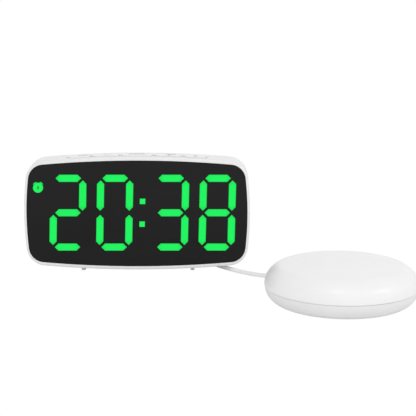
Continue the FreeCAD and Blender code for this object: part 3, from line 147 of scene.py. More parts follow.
# Materials.
def startMaterial(name, inputs):
    material = bpy.data.materials.new(name)
    material.use_nodes = True
    tree = material.node_tree
    shader = tree.nodes["Principled BSDF"]
    for socket, value in inputs.items():
        feed(tree, shader, socket, value)
    return material, tree, shader


def clouded(tree, shader, pattern, look):
    # the base colour drifts between the look's two shades
    amount = spread(tree, pattern, 0, 1)
    feed(tree, shader, "Base Color", blendColours(tree, amount, look["colour"], look["shade"]))


def roughen(tree, shader, height, strength, distance):
    bump = addNode(tree, "ShaderNodeBump", {"Height": height, "Strength": strength, "Distance": distance})
    feed(tree, shader, "Normal", bump.outputs[0])


plasticSurface = {"refraction": 1.49, "sheenDetail": 4.0, "grainDetail": 2.0, "grainDepth": 0.00005}
plasticLooks = {
    "shellWhite": {
        "colour": (0.805, 0.805, 0.806), "shade": (0.78, 0.78, 0.781), "roughness": (0.27, 0.36),
        "cloudScale": 30, "sheenScale": 160, "grainScale": 2600, "grain": 0.12,
    },
    "shakerWhite": {
        "colour": (0.85, 0.85, 0.85), "shade": (0.825, 0.825, 0.825), "roughness": (0.31, 0.37),
        "cloudScale": 22, "sheenScale": 140, "grainScale": 2400, "grain": 0.05,
    },
    "shakerBaseWhite": {
        "colour": (0.80, 0.80, 0.80), "shade": (0.775, 0.775, 0.775), "roughness": (0.36, 0.44),
        "cloudScale": 22, "sheenScale": 140, "grainScale": 2400, "grain": 0.16,
    },
    "keyWhite": {
        "colour": (0.83, 0.83, 0.832), "shade": (0.81, 0.81, 0.812), "roughness": (0.24, 0.33),
        "cloudScale": 60, "sheenScale": 240, "grainScale": 3000, "grain": 0.08,
    },
    "keyPrint": {
        "colour": (0.20, 0.20, 0.21), "shade": (0.25, 0.25, 0.26), "roughness": (0.5, 0.65),
        "cloudScale": 900, "sheenScale": 900, "grainScale": 3500, "grain": 0.2,
    },
    "footRubber": {
        "colour": (0.88, 0.88, 0.88), "shade": (0.84, 0.84, 0.84), "roughness": (0.7, 0.85),
        "cloudScale": 90, "sheenScale": 300, "grainScale": 1800, "grain": 0.35,
    },
    "cordVinyl": {
        "colour": (0.91, 0.91, 0.91), "shade": (0.88, 0.88, 0.88), "roughness": (0.38, 0.5),
        "cloudScale": 120, "sheenScale": 400, "grainScale": 2200, "grain": 0.2,
    },
    "tieVinyl": {
        "colour": (0.03, 0.03, 0.03), "shade": (0.045, 0.045, 0.045), "roughness": (0.4, 0.55),
        "cloudScale": 300, "sheenScale": 300, "grainScale": 2600, "grain": 0.2,
    },
    "darkPlastic": {
        "colour": (0.018, 0.018, 0.018), "shade": (0.03, 0.03, 0.03), "roughness": (0.45, 0.6),
        "cloudScale": 120, "sheenScale": 400, "grainScale": 2600, "grain": 0.2,
    },
    "greyPlastic": {
        "colour": (0.55, 0.55, 0.55), "shade": (0.5, 0.5, 0.5), "roughness": (0.45, 0.6),
        "cloudScale": 120, "sheenScale": 400, "grainScale": 2600, "grain": 0.2,
    },
    "coneBlack": {
        "colour": (0.05, 0.05, 0.05), "shade": (0.09, 0.09, 0.09), "roughness": (0.75, 0.9),
        "cloudScale": 500, "sheenScale": 900, "grainScale": 1500, "grain": 0.5,
    },
    "lampResin": {
        "colour": (0.85, 0.8, 0.5), "shade": (0.8, 0.74, 0.42), "roughness": (0.3, 0.45),
        "cloudScale": 400, "sheenScale": 800, "grainScale": 2600, "grain": 0.2,
    },
}


def mouldedPlastic(name, look, surface):
    # fine spark-eroded grain, cloudy colour and an uneven sheen
    material, tree, shader = startMaterial(name, {"IOR": surface["refraction"]})
    clouded(tree, shader, noise(tree, look["cloudScale"]), look)
    sheen = noise(tree, look["sheenScale"], surface["sheenDetail"])
    feed(tree, shader, "Roughness", spread(tree, sheen, *look["roughness"]))
    grain = noise(tree, look["grainScale"], surface["grainDetail"])
    roughen(tree, shader, grain, look["grain"], surface["grainDepth"])
    return material


plastics = {name: mouldedPlastic(name, look, plasticSurface) for name, look in plasticLooks.items()}

metalLooks = {
    "platedSteel": {
        "colour": (0.62, 0.62, 0.63), "shade": (0.5, 0.5, 0.51), "roughness": (0.22, 0.38),
        "scale": 500, "stretch": (1, 6, 1), "streak": 0.25, "streakDepth": 0.00003,
    },
    "turnedBrass": {
        "colour": (0.62, 0.5, 0.26), "shade": (0.52, 0.41, 0.2), "roughness": (0.25, 0.4),
        "scale": 500, "stretch": (6, 1, 1), "streak": 0.25, "streakDepth": 0.00003,
    },
}


def brushedMetal(name, look):
    material, tree, shader = startMaterial(name, {"Metallic": 1.0})
    streak = noise(tree, look["scale"], stretch=look["stretch"])
    clouded(tree, shader, streak, look)
    feed(tree, shader, "Roughness", spread(tree, streak, *look["roughness"]))
    roughen(tree, shader, streak, look["streak"], look["streakDepth"])
    return material


steel, brass = [brushedMetal(name, look) for name, look in metalLooks.items()]

lensLook = {
    "colour": (0.0055, 0.0055, 0.0058), "shade": (0.0085, 0.0083, 0.0085), "cloudScale": 12,
    "roughness": (0.09, 0.17), "wipeScale": 40, "wipeDetail": 5.0, "wipeStretch": (1.0, 1.0, 4.0),
    "grainScale": 900, "grainDetail": 2.0, "grain": 0.03, "grainDepth": 0.00003,
    "refraction": 1.45, "specular": 0.18,
}


def lensMaterial(look):
    # smoked acrylic with faint wipe marks in its gloss
    inputs = {"IOR": look["refraction"], "Specular IOR Level": look["specular"]}
    material, tree, shader = startMaterial("smokedAcrylic", inputs)
    clouded(tree, shader, noise(tree, look["cloudScale"]), look)
    wiped = noise(tree, look["wipeScale"], look["wipeDetail"], look["wipeStretch"])
    feed(tree, shader, "Roughness", spread(tree, wiped, *look["roughness"]))
    grain = noise(tree, look["grainScale"], look["grainDetail"])
    roughen(tree, shader, grain, look["grain"], look["grainDepth"])
    return material


litLook = {
    "glow": ((0.006, 0.74, 0.085), (0.013, 0.89, 0.115)),  # at the edge of a bar, and over its lamps
    "base": ((0.0, 0.02, 0.004), (0.0, 0.03, 0.005)),
    "coreShare": 0.8,  # the rest is the resin's grain
    "grainScale": 700,
    "strength": 1.0,
    "roughness": 0.4,
    "specular": 0.08,
}


def litMaterial(look):
    # green light, a little stronger over the lamps in the middle of each bar
    material, tree, shader = startMaterial("litGreen", {
        "Roughness": look["roughness"], "Specular IOR Level": look["specular"],
        "Emission Strength": look["strength"],
    })
    add, _, times, _ = arithmetic(tree)
    core = addNode(tree, "ShaderNodeAttribute", attribute_name="core").outputs["Fac"]
    grain = spread(tree, noise(tree, look["grainScale"]), 0.0, 1.0)
    level = add(times(core, look["coreShare"]), times(grain, 1.0 - look["coreShare"]))
    feed(tree, shader, "Base Color", blendColours(tree, level, *look["base"]))
    feed(tree, shader, "Emission Color", blendColours(tree, level, *look["glow"]))
    return material


boardLook = {
    "runs": {"Scale": 160.0, "Mortar Size": 0.05},
    "runOffset": 0.35,
    "mask": ((0.012, 0.13, 0.045), (0.03, 0.23, 0.09)),
    "stain": (0.02, 0.09, 0.04), "stainScale": 200, "stainMost": 0.3,
    "roughness": (0.3, 0.45), "sheenScale": 500,
    "relief": 0.3, "reliefDepth": 0.00003,
}


def boardMaterial(look):
    # solder mask with lighter copper runs under it
    material, tree, shader = startMaterial("boardMask", {})
    where = addNode(tree, "ShaderNodeTexCoord").outputs["Object"]
    bricks = addNode(tree, "ShaderNodeTexBrick", {"Vector": where, **look["runs"]}, offset=look["runOffset"])
    runs = bricks.outputs["Fac"]
    stain = spread(tree, noise(tree, look["stainScale"]), 0, look["stainMost"])
    mask = blendColours(tree, runs, *look["mask"])
    feed(tree, shader, "Base Color", blendColours(tree, stain, mask, look["stain"]))
    feed(tree, shader, "Roughness", spread(tree, noise(tree, look["sheenScale"]), *look["roughness"]))
    roughen(tree, shader, runs, look["relief"], look["reliefDepth"])
    return material


lensBlack = lensMaterial(lensLook)
litGreen = litMaterial(litLook)
boardGreen = boardMaterial(boardLook)
print("finishes ready")

# The cord, one curve from the shaker to the plug, along the same line as the solid tube.
cordLine = {
    "diameter": 0.003,
    "length": 1.8,
    "run": [
        (0.0523, 0.01243, 0.0070), (0.04753, 0.02006, 0.0070), (0.0379, 0.0335, 0.0015),
        (0.0121, 0.0556, 0.0015), (-0.0026, 0.0774, 0.0015), (-0.0189, 0.1012, 0.0015),
        (-0.0400, 0.1266, 0.0015), (-0.0560, 0.14495, 0.0015),
    ],
    "lead": [
        (-0.0931, 0.13145, 0.0105), (-0.0931, 0.1232, 0.0106),
        (-0.0931, 0.1148, 0.0150), (-0.0931, 0.10675, 0.0150),
    ],
    "coilMiddle": (-0.0721, 0.13145),
    "coilRings": [0.021, 0.018, 0.015, 0.012],
    "coilLayers": [0.0015, 0.0045, 0.0075, 0.0105],
    "coilStart": 39.98,
    "coilPoints": 245,
    "pointsPerTurn": 16,
    "shiftShare": 0.125,  # the end of each turn, where the cord moves to the next ring
    "pull": 0.981,  # how far inside its points the curve runs
    "smoothness": 5,  # steps between points, and in a quarter of the round
}


def coilTurns(line):
    rings, heights = [], []
    for layer, height in enumerate(line["coilLayers"]):
        rings += line["coilRings"][::-1] if layer % 2 else line["coilRings"]
        heights += [height] * len(line["coilRings"])
    rings.append(rings[-1])
    heights.append(heights[-1])
    points = []
    for step in range(1, line["coilPoints"] + 1):
        turn = step / line["pointsPerTurn"]
        ring = int(turn)
        shift = max(0.0, (turn - ring - (1 - line["shiftShare"])) / line["shiftShare"])
        radius = (rings[ring] + (rings[ring + 1] - rings[ring]) * shift) / line["pull"]
        height = heights[ring] + (heights[ring + 1] - heights[ring]) * shift
        angle = math.radians(line["coilStart"]) + turn * math.tau
        points.append((*onOval(line["coilMiddle"], radius, radius, angle), height))
    return points


def makeCord(line):
    points = line["run"] + coilTurns(line) + line["lead"]
    curve = bpy.data.curves.new("shakerCord", "CURVE")
    curve.dimensions = "3D"
    curve.bevel_depth = line["diameter"] / 2
    curve.bevel_resolution = line["smoothness"]
    curve.resolution_u = line["smoothness"]
    curve.use_fill_caps = True
    spline = curve.splines.new("NURBS")
    spline.points.add(len(points) - 1)
    for point, place in zip(spline.points, points):
        point.co = (*place, 1.0)
    spline.order_u = 3
    spline.use_endpoint_u = True
    curve.materials.append(plastics["cordVinyl"])
    return addObject("shakerCord", curve)


shakerCord = makeCord(cordLine)
print("cord laid,", len(shakerCord.data.splines[0].points), "points")


# Helpers for meshes grown by geometry nodes.
def newTree(name, inputs):
    tree = bpy.data.node_groups.new(name, "GeometryNodeTree")
    tree.interface.new_socket("Geometry", in_out="INPUT", socket_type="NodeSocketGeometry")
    for label, value in inputs.items():
        kind = "NodeSocketInt" if isinstance(value, int) else "NodeSocketFloat"
        tree.interface.new_socket(label, in_out="INPUT", socket_type=kind).default_value = value
    tree.interface.new_socket("Geometry", in_out="OUTPUT", socket_type="NodeSocketGeometry")
    return tree, tree.nodes.new("NodeGroupInput").outputs


def endTree(tree, geometry, material):
    realize = addNode(tree, "GeometryNodeRealizeInstances", {0: geometry})
    finish = addNode(tree, "GeometryNodeSetMaterial", {"Geometry": realize.outputs[0], "Material": material})
    addNode(tree, "NodeGroupOutput", {0: finish.outputs[0]})
    return tree


def grow(name, tree, values, seed=None):
    # runs the tree with the inputs that values names, and returns its result as a plain mesh object
    source = addObject(name + "Source", seed or bpy.data.meshes.new(name + "Source"))
    modifier = source.modifiers.new("grow", "NODES")
    modifier.node_group = tree
    for item in tree.interface.items_tree:
        if item.in_out == "INPUT" and item.name in values:
            modifier[item.identifier] = values[item.name]
    bpy.context.view_layer.update()
    mesh = bpy.data.meshes.new_from_object(source.evaluated_get(bpy.context.evaluated_depsgraph_get()))
    bpy.data.objects.remove(source)
    mesh.name = name
    return addObject(name, mesh)


def pick(tree, test, yes, no):
    return addNode(tree, "ShaderNodeMix", {0: test, 2: no, 3: yes}, data_type="FLOAT").outputs[0]


def position(tree):
    return addNode(tree, "GeometryNodeInputPosition").outputs[0]


def onPoints(tree, points, instance, **more):
    inputs = {"Points": points, "Instance": instance, **more}
    return addNode(tree, "GeometryNodeInstanceOnPoints", inputs).outputs[0]


def pointCloud(name, places):
    mesh = bpy.data.meshes.new(name)
    mesh.from_pydata([(x, y, 0) for x, y in places], [], [])
    return mesh


# Helpers that finish a mesh.
edgeStyle = {"segments": 2, "angle": 40}


def softEdges(piece, width):
    if width:
        edges = piece.modifiers.new("softEdges", "BEVEL")
        edges.width = width
        edges.segments = edgeStyle["segments"]
        edges.limit_method = "ANGLE"
        edges.angle_limit = math.radians(edgeStyle["angle"])
        edges.use_clamp_overlap = True
    piece.modifiers.new("flatFaces", "WEIGHTED_NORMAL").keep_sharp = True


def shadeSmooth(shape, keepAngle):
    # smooth shading that stays sharp at open edges and where faces meet at keepAngle or more
    for face in shape.faces:
        face.smooth = True
    for edge in shape.edges:
        edge.smooth = len(edge.link_faces) == 2 and edge.calc_face_angle(0.0) < math.radians(keepAngle)


def tie(piece, body, node):
    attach(piece, body)
    if node:
        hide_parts(node)


def settle(piece, body, node, place=None, keepAngle=35.0, bevel=0.0, weld=0.000001):
    # places the mesh, points its faces outwards, and ties the piece to its body
    if place is not None:
        piece.data.transform(place)
    shape = bmesh.new()
    shape.from_mesh(piece.data)
    bmesh.ops.remove_doubles(shape, verts=shape.verts, dist=weld)
    bmesh.ops.recalc_face_normals(shape, faces=shape.faces)
    shadeSmooth(shape, keepAngle)
    shape.to_mesh(piece.data)
    shape.free()
    softEdges(piece, bevel)
    tie(piece, body, node)


def meshPiece(name, shape, material):
    for face in shape.faces:
        face.material_index = 0
    mesh = bpy.data.meshes.new(name)
    shape.to_mesh(mesh)
    shape.free()
    mesh.materials.append(material)
    return addObject(name, mesh)


# Shells, keys and small parts: smooth copies of the solids.
copyStyle = {"keepAngle": 28.0, "weld": 0.000002, "shortest": 0.0000005}
shellPieces = [
    ("front_housing", "frontHousing", "shellWhite", "white_case"),
    ("rear_cover", "rearCover", "shellWhite", "white_case"),
    ("battery_door", "batteryDoor", "shellWhite", "white_case"),
    ("puck_base_shell", "shakerBase", "shakerBaseWhite", "grey_white_case"),
    ("alarm_button", "alarmKey", "keyWhite", "white_case"),
    ("minus_button", "minusKey", "keyWhite", "white_case"),
    ("snooze_button", "snoozeKey", "keyWhite", "white_case"),
    ("plus_button", "plusKey", "keyWhite", "white_case"),
    ("light_button", "lightKey", "keyWhite", "white_case"),
    ("rubber_feet", "rubberFeet", "footRubber", "rubber_grey"),
    ("puck_pads", "shakerPads", "footRubber", "rubber_grey"),
    ("power_inlet", "powerInlet", "darkPlastic", "black_plastic"),
    ("shaker_jack", "shakerJack", "darkPlastic", "black_plastic"),
    ("plug_body", "cordPlug", "cordVinyl", "cord_white"),
    ("cord_relief", "cordRelief", "cordVinyl", "cord_white"),
    ("coil_tie", "coilTie", "tieVinyl", "tie_black"),
]
lensBevel = 0.00025


def smoothCopy(node, name, material, bevel=0.0):
    # a merged copy of the loose triangles, with flat faces kept flat
    shape = bmesh.new()
    shape.from_mesh(cadNodes[node].data)
    bmesh.ops.remove_doubles(shape, verts=shape.verts, dist=copyStyle["weld"])
    bmesh.ops.dissolve_degenerate(shape, edges=shape.edges, dist=copyStyle["shortest"])
    shadeSmooth(shape, copyStyle["keepAngle"])
    piece = meshPiece(name, shape, material)
    softEdges(piece, bevel)
    tie(piece, cadNodes[node]["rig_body"], node)
    return piece


pieces = {}
for node, name, finish, slotName in shellPieces:
    pieces[name] = smoothCopy(node, name, plastics[finish])
pieces["displayLens"] = smoothCopy("display_lens", "displayLens", lensBlack, lensBevel)
print("shells and keys ready")


# The shaker's upper shell.
shakerTop = {
    "middle": (0.0841, -0.03845),
    "seam": 0.01514,  # leaves a fine open line above the lower shell
    "Radius": 0.0500,
    "Tall": 0.01466,
    "Shoulder": 0.0135,
    "Wall": 0.0022,
    "rows": 64,
    "around": 145,
    "shoulderShare": 0.6,  # of the rows
    "weld": 0.000005,
    "bevel": 0.00035,
}


def turnedTree(spec, material):
    # a dished shell turned about its axis: a round shoulder, then a shallow crown
    sizes = {name: spec[name] for name in ("Radius", "Tall", "Shoulder", "Wall")}
    tree, given = newTree("turnedShell", sizes)
    add, minus, times, over = arithmetic(tree)
    grid = addNode(tree, "GeometryNodeMeshGrid", {
        "Size X": 1.0, "Size Y": 1.0, "Vertices X": spec["rows"], "Vertices Y": spec["around"],
    })
    # half of the rows run up the outside and half up the inside, and they meet at the rim
    row, column, _ = split(tree, position(tree))
    first = 1.0 / (spec["rows"] - 1)
    along = over(minus(calc(tree, "ABSOLUTE", times(row, 2.0)), first), 1.0 - first)
    wall = times(calc(tree, "GREATER_THAN", row, 0.0), given["Wall"])
    # the crown's radius is the one that meets the shoulder without a kink
    middle = minus(given["Radius"], given["Shoulder"])
    middleSquare, tallSquare, shoulderSquare = [
        calc(tree, "POWER", side, 2.0) for side in (middle, given["Tall"], given["Shoulder"])
    ]
    squares = minus(add(middleSquare, tallSquare), shoulderSquare)
    crown = over(squares, times(minus(given["Tall"], given["Shoulder"]), 2.0))
    meet = calc(tree, "ARCTAN2", minus(crown, given["Tall"]), middle)
    # each row's angle, on the shoulder or on the crown
    share = spec["shoulderShare"]
    onShoulder = calc(tree, "LESS_THAN", along, share)
    low = times(meet, over(along, share))
    high = add(meet, times(over(minus(along, share), 1.0 - share), minus(math.pi / 2, meet)))
    angle = pick(tree, onShoulder, low, high)
    bend = minus(pick(tree, onShoulder, given["Shoulder"], crown), wall)
    reach = add(times(bend, calc(tree, "COSINE", angle)), pick(tree, onShoulder, middle, 0.0))
    sunk = minus(given["Tall"], crown)
    rise = add(times(bend, calc(tree, "SINE", angle)), pick(tree, onShoulder, 0.0, sunk))
    turn = times(column, math.tau)
    across, behind = times(reach, calc(tree, "COSINE", turn)), times(reach, calc(tree, "SINE", turn))
    shaped = addNode(tree, "GeometryNodeSetPosition", {
        "Geometry": grid.outputs[0], "Position": combine(tree, X=across, Y=behind, Z=rise),
    })
    closed = addNode(tree, "GeometryNodeMergeByDistance", {
        "Geometry": shaped.outputs[0], "Distance": spec["weld"],
    })
    return endTree(tree, closed.outputs[0], material)


pieces["shakerTop"] = grow("shakerTop", turnedTree(shakerTop, plastics["shakerWhite"]), shakerTop)
shakerPlace = Matrix.Translation((*shakerTop["middle"], shakerTop["seam"]))
settle(pieces["shakerTop"], "root", "puck_top_shell", shakerPlace, bevel=shakerTop["bevel"])
print("shaker top turned,", len(pieces["shakerTop"].data.polygons), "faces")


# Screws in the back of the clock and under the shaker.
screws = {
    "case_screws": {
        "heads": [(-0.1211, 0.019), (0.0149, 0.019), (-0.1211, 0.066), (0.0149, 0.066)],
        "face": (0, 0.08685, 0), "turn": -90, "Reach": 0.0160,
    },
    "puck_screws": {
        "middle": (0.0841, -0.03845), "ring": 0.036, "spokes": (30, 150, 270),
        "face": (0, 0, 0.0054), "turn": 180, "Reach": 0.0138,
    },
}
screwHead = {
    "Head Radius": 0.0026,
    "Head Thickness": 0.0018,
    "Shank Radius": 0.0013,
    "Slot": 0.0007,
    "Slot Depth": 0.0011,
}
screwStyle = {
    "headSides": 32,
    "shankSides": 20,
    "slotReach": 1.3,  # of the head's radius
    "turns": {"Min": 0.0, "Max": 1.57, "Seed": 7},  # radians
    "keepAngle": 30,
}


def drum(tree, radius, depth, drop, sides):
    # a cylinder whose middle is drop below the point
    _, _, times, _ = arithmetic(tree)
    barrel = addNode(tree, "GeometryNodeMeshCylinder", {"Vertices": sides, "Radius": radius, "Depth": depth})
    return addNode(tree, "GeometryNodeTransform", {
        "Geometry": barrel.outputs["Mesh"], "Translation": combine(tree, Z=times(drop, -1.0)),
    }).outputs[0]


def screwTree(sizes, style, material):
    # a cross-slot screw on each point: its head top is at the point and its shank goes down
    tree, given = newTree("crossScrews", {**sizes, "Reach": screws["case_screws"]["Reach"]})
    add, _, times, over = arithmetic(tree)
    headHalf = over(given["Head Thickness"], 2.0)
    shankDrop = add(over(given["Reach"], 2.0), headHalf)
    head = drum(tree, given["Head Radius"], given["Head Thickness"], headHalf, style["headSides"])
    shank = drum(tree, given["Shank Radius"], given["Reach"], shankDrop, style["shankSides"])
    cutter = addNode(tree, "GeometryNodeJoinGeometry")
    slotLong, slotDeep = times(given["Head Radius"], style["slotReach"]), times(given["Slot Depth"], 2.0)
    for wide, deep in ((given["Slot"], slotLong), (slotLong, given["Slot"])):
        box = addNode(tree, "GeometryNodeMeshCube", {"Size": combine(tree, X=wide, Y=deep, Z=slotDeep)})
        feed(tree, cutter, 0, box.outputs["Mesh"])
    carved = addNode(
        tree, "GeometryNodeMeshBoolean", {"Mesh 1": head, "Mesh 2": cutter.outputs[0]},
        operation="DIFFERENCE", solver="EXACT",
    )
    whole = addNode(tree, "GeometryNodeJoinGeometry")
    for part in (carved.outputs[0], shank):
        feed(tree, whole, 0, part)
    aside = addNode(tree, "FunctionNodeRandomValue", data_type="FLOAT")
    for socket in aside.inputs:
        if socket.enabled and socket.name in style["turns"]:
            socket.default_value = style["turns"][socket.name]
    turn = combine(tree, Z=[socket for socket in aside.outputs if socket.enabled][0])
    spots = addNode(tree, "GeometryNodeMeshToPoints", {"Mesh": given["Geometry"]})
    placed = onPoints(tree, spots.outputs[0], whole.outputs[0], Rotation=turn)
    return endTree(tree, placed, material)


def makeScrews(node, spec, tree):
    if "heads" in spec:
        heads = spec["heads"]
    else:
        turns = [math.radians(spoke) for spoke in spec["spokes"]]
        heads = [onOval(spec["middle"], spec["ring"], spec["ring"], turn) for turn in turns]
    spots = pointCloud(node + "Spots", [(x, -y) for x, y in heads])
    place = Matrix.Translation(spec["face"]) @ Matrix.Rotation(math.radians(spec["turn"]), 4, "X")
    piece = grow("cross" + node.title().replace("_", ""), tree, {**screwHead, "Reach": spec["Reach"]}, spots)
    settle(piece, "root", node, place, keepAngle=screwStyle["keepAngle"])


screwNodes = screwTree(screwHead, screwStyle, steel)
for node, spec in screws.items():
    makeScrews(node, spec, screwNodes)
print("screws driven")


# Rings of the two strain reliefs.
reliefs = {
    "shakerReliefRings": {
        "start": (0.0581, 0.0031, 0.0070), "away": (-0.5299, 0.8480, 0.0),
        "Count": 5, "Length": 0.0085, "Root": 0.00315, "Tip": 0.00215, "Ring": 0.00045,
    },
    "plugTailRings": {
        "start": (-0.0931, 0.1014, 0.0150), "away": (0.0, 1.0, 0.0),
        "Count": 4, "Length": 0.0042, "Root": 0.00270, "Tip": 0.00200, "Ring": 0.00040,
    },
}
ringStyle = {"sides": 40, "profileSides": 10, "keepAngle": 80}


def ringTree(spec, style, material):
    # evenly spaced rings that shrink towards the tip
    sizes = {name: spec[name] for name in ("Count", "Length", "Root", "Tip", "Ring")}
    tree, given = newTree("reliefRings", sizes)
    add, minus, times, over = arithmetic(tree)
    line = addNode(
        tree, "GeometryNodeMeshLine", {"Count": given["Count"], "Offset": combine(tree, Z=given["Length"])},
        mode="END_POINTS",
    )
    circle = addNode(tree, "GeometryNodeCurvePrimitiveCircle", {"Resolution": style["sides"], "Radius": 1.0})
    share = over(addNode(tree, "GeometryNodeInputIndex").outputs[0], minus(given["Count"], 1.0))
    girth = add(given["Root"], times(share, minus(given["Tip"], given["Root"])))
    placed = onPoints(tree, line.outputs[0], circle.outputs[0], Scale=girth)
    loose = addNode(tree, "GeometryNodeRealizeInstances", {"Geometry": placed})
    profile = addNode(tree, "GeometryNodeCurvePrimitiveCircle", {
        "Resolution": style["profileSides"], "Radius": given["Ring"],
    })
    swept = addNode(tree, "GeometryNodeCurveToMesh", {
        "Curve": loose.outputs[0], "Profile Curve": profile.outputs[0],
    })
    return endTree(tree, swept.outputs[0], material)


ringNodes = ringTree(reliefs["shakerReliefRings"], ringStyle, plastics["cordVinyl"])
for name, spec in reliefs.items():
    pieces[name] = grow(name, ringNodes, spec)
    turned = Vector(spec["away"]).to_track_quat("Z", "Y").to_matrix().to_4x4()
    place = Matrix.Translation(spec["start"]) @ turned
    settle(pieces[name], "root", None, place, keepAngle=ringStyle["keepAngle"])


# Print on the keys: plain bars, a cross and a dot, each as across, behind, width and depth.
keyMarks = {
    "alarmKey": [(-0.0925, 0.0688, 0.0072, 0.0009)],
    "minusKey": [(-0.0757, 0.0660, 0.0034, 0.0007)],
    "snoozeKey": [(-0.0535, 0.0689, 0.0118, 0.0014)],
    "plusKey": [
        (-0.0305, 0.0660, 0.0034, 0.0007), (-0.0305, 0.0660, 0.0007, 0.0034),
        (-0.0287, 0.0688, 0.0064, 0.0008),
    ],
    "lightKey": [(-0.0113, 0.0660, 0.0022, 0.0022)],
}
printStyle = {"lift": 0.00005, "columns": 9, "above": 0.2}


def printColumns(shape, surface, mark, style):
    # pairs of points over and under the cap's surface, along both long edges of a mark
    across, behind, wide, deep = mark
    rows = []
    for k in range(style["columns"]):
        x = across + wide * (k / (style["columns"] - 1) - 0.5)
        column = []
        for y in (behind - deep / 2, behind + deep / 2):
            top = surface.ray_cast(Vector((x, y, style["above"])), Vector((0, 0, -1)))[0].z
            column.append([shape.verts.new((x, y, top + lift)) for lift in (style["lift"], -style["lift"])])
        rows.append(column)
    return rows


def keyPrint(key, marks, style):
    # thin print that follows the crowned cap
    cap = pieces[key].data
    surface = BVHTree.FromPolygons([v.co for v in cap.vertices], [tuple(f.vertices) for f in cap.polygons])
    shape = bmesh.new()
    for mark in marks:
        rows = printColumns(shape, surface, mark, style)
        for (near, far), (nearNext, farNext) in zip(rows, rows[1:]):
            shape.faces.new((near[0], nearNext[0], farNext[0], far[0]))
            shape.faces.new((near[1], far[1], farNext[1], nearNext[1]))
            shape.faces.new((near[0], near[1], nearNext[1], nearNext[0]))
            shape.faces.new((far[0], farNext[0], farNext[1], far[1]))
        for (near, far), order in ((rows[0], 1), (rows[-1], -1)):
            shape.faces.new([near[0], far[0], far[1], near[1]][::order])
    piece = meshPiece(key + "Print", shape, plastics["keyPrint"])
    settle(piece, key.replace("Key", "_key"), None)


for key, marks in keyMarks.items():
    keyPrint(key, marks, printStyle)
print("keys printed")

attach(shakerCord, "root")
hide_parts("cord_run", "cord_coil", "cord_lead")


# Lit bars of the display. Places are from the middle of the leaning face, across and up.
display = {
    "middle": (-0.0531, 0.05345, 0.0428),
    "lean": 5.9,
    "slant": 1.4,
    "front": 0.00026,  # behind the rim
    "raised": 0.0006,
    "bar": 0.0051,
    "acrossLength": 0.0182,
    "uprightLength": 0.02175,
    "halfWide": 0.0104,
    "halfTall": 0.02475,
    "digits": [("abged", -0.0495), ("abcdef", -0.0160), ("abcdg", 0.0240), ("abcdefg", 0.0575)],
    "colonAcross": 0.0038,
    "colonUp": 0.0082,
    "colonSize": 0.0039,
    "thick": 0.0003,
    "barInset": 0.0007,  # from a bar's edge to its brighter core
    "dotInset": 0.0004,
}
# each bar's column, row, and whether it stands upright
barPlaces = {
    "a": (0, 1, False), "g": (0, 0, False), "d": (0, -1, False),
    "b": (1, 0.5, True), "c": (1, -0.5, True), "e": (-1, -0.5, True), "f": (-1, 0.5, True),
}


def barTree(spec, material):
    # one pointed bar on each point, turned as the input says
    tree, given = newTree("litBars", {
        "Length": spec["acrossLength"], "Width": spec["bar"], "Thickness": spec["thick"],
        "Turn": 0.0, "Inset": spec["barInset"],
    })
    _, minus, times, over = arithmetic(tree)
    outline = addNode(tree, "GeometryNodeMeshCircle", {"Vertices": 6, "Radius": 1.0}, fill_type="NGON")
    x, y, _ = split(tree, position(tree))
    side = over(y, math.sin(math.radians(60)))
    halfWidth = over(given["Width"], 2.0)
    shoulder = minus(over(given["Length"], 2.0), times(calc(tree, "ABSOLUTE", side), halfWidth))
    corner = combine(tree, X=times(calc(tree, "SIGN", x), shoulder), Y=times(side, halfWidth))
    shaped = addNode(tree, "GeometryNodeSetPosition", {"Geometry": outline.outputs[0], "Position": corner})
    raised = addNode(
        tree, "GeometryNodeExtrudeMesh", {"Mesh": shaped.outputs[0], "Offset Scale": given["Thickness"]},
        mode="FACES",
    )
    inner = addNode(
        tree, "GeometryNodeExtrudeMesh",
        {"Mesh": raised.outputs["Mesh"], "Selection": raised.outputs["Top"], "Offset Scale": 0.0},
        mode="FACES",
    )
    shrink = minus(1.0, over(given["Inset"], halfWidth))
    centre = addNode(tree, "ShaderNodeVectorMath", {0: position(tree), "Scale": shrink}, operation="SCALE")
    x, y, _ = split(tree, centre.outputs[0])
    drawn = addNode(tree, "GeometryNodeSetPosition", {
        "Geometry": inner.outputs["Mesh"], "Selection": inner.outputs["Top"],
        "Position": combine(tree, X=x, Y=y, Z=given["Thickness"]),
    })
    core = addNode(
        tree, "GeometryNodeStoreNamedAttribute",
        {"Geometry": drawn.outputs[0], "Name": "core", "Value": inner.outputs["Top"]},
        data_type="FLOAT", domain="POINT",
    )
    spots = addNode(tree, "GeometryNodeMeshToPoints", {"Mesh": given["Geometry"]})
    placed = onPoints(tree, spots.outputs[0], core.outputs[0], Rotation=combine(tree, Z=given["Turn"]))
    return endTree(tree, placed, material)


def faceMatrix(spec):
    # across, up and out of the leaning face, and the digits' slant
    lean = math.radians(spec["lean"])
    up = Vector((0, math.sin(lean), math.cos(lean)))
    out = Vector((0, -math.cos(lean), math.sin(lean)))
    turn = Matrix((Vector((1, 0, 0)), up, out)).transposed().to_4x4()
    slant = Matrix.Identity(4)
    slant[0][1] = math.tan(math.radians(spec["slant"]))
    base = Vector(spec["middle"]) - out * (spec["front"] + spec["thick"])
    return Matrix.Translation(base) @ turn @ slant


def joined(name, parts, material):
    # several objects as one mesh
    shape = bmesh.new()
    for part in parts:
        shape.from_mesh(part.data)
    piece = meshPiece(name, shape, material)
    for part in parts:
        bpy.data.objects.remove(part)
    return piece


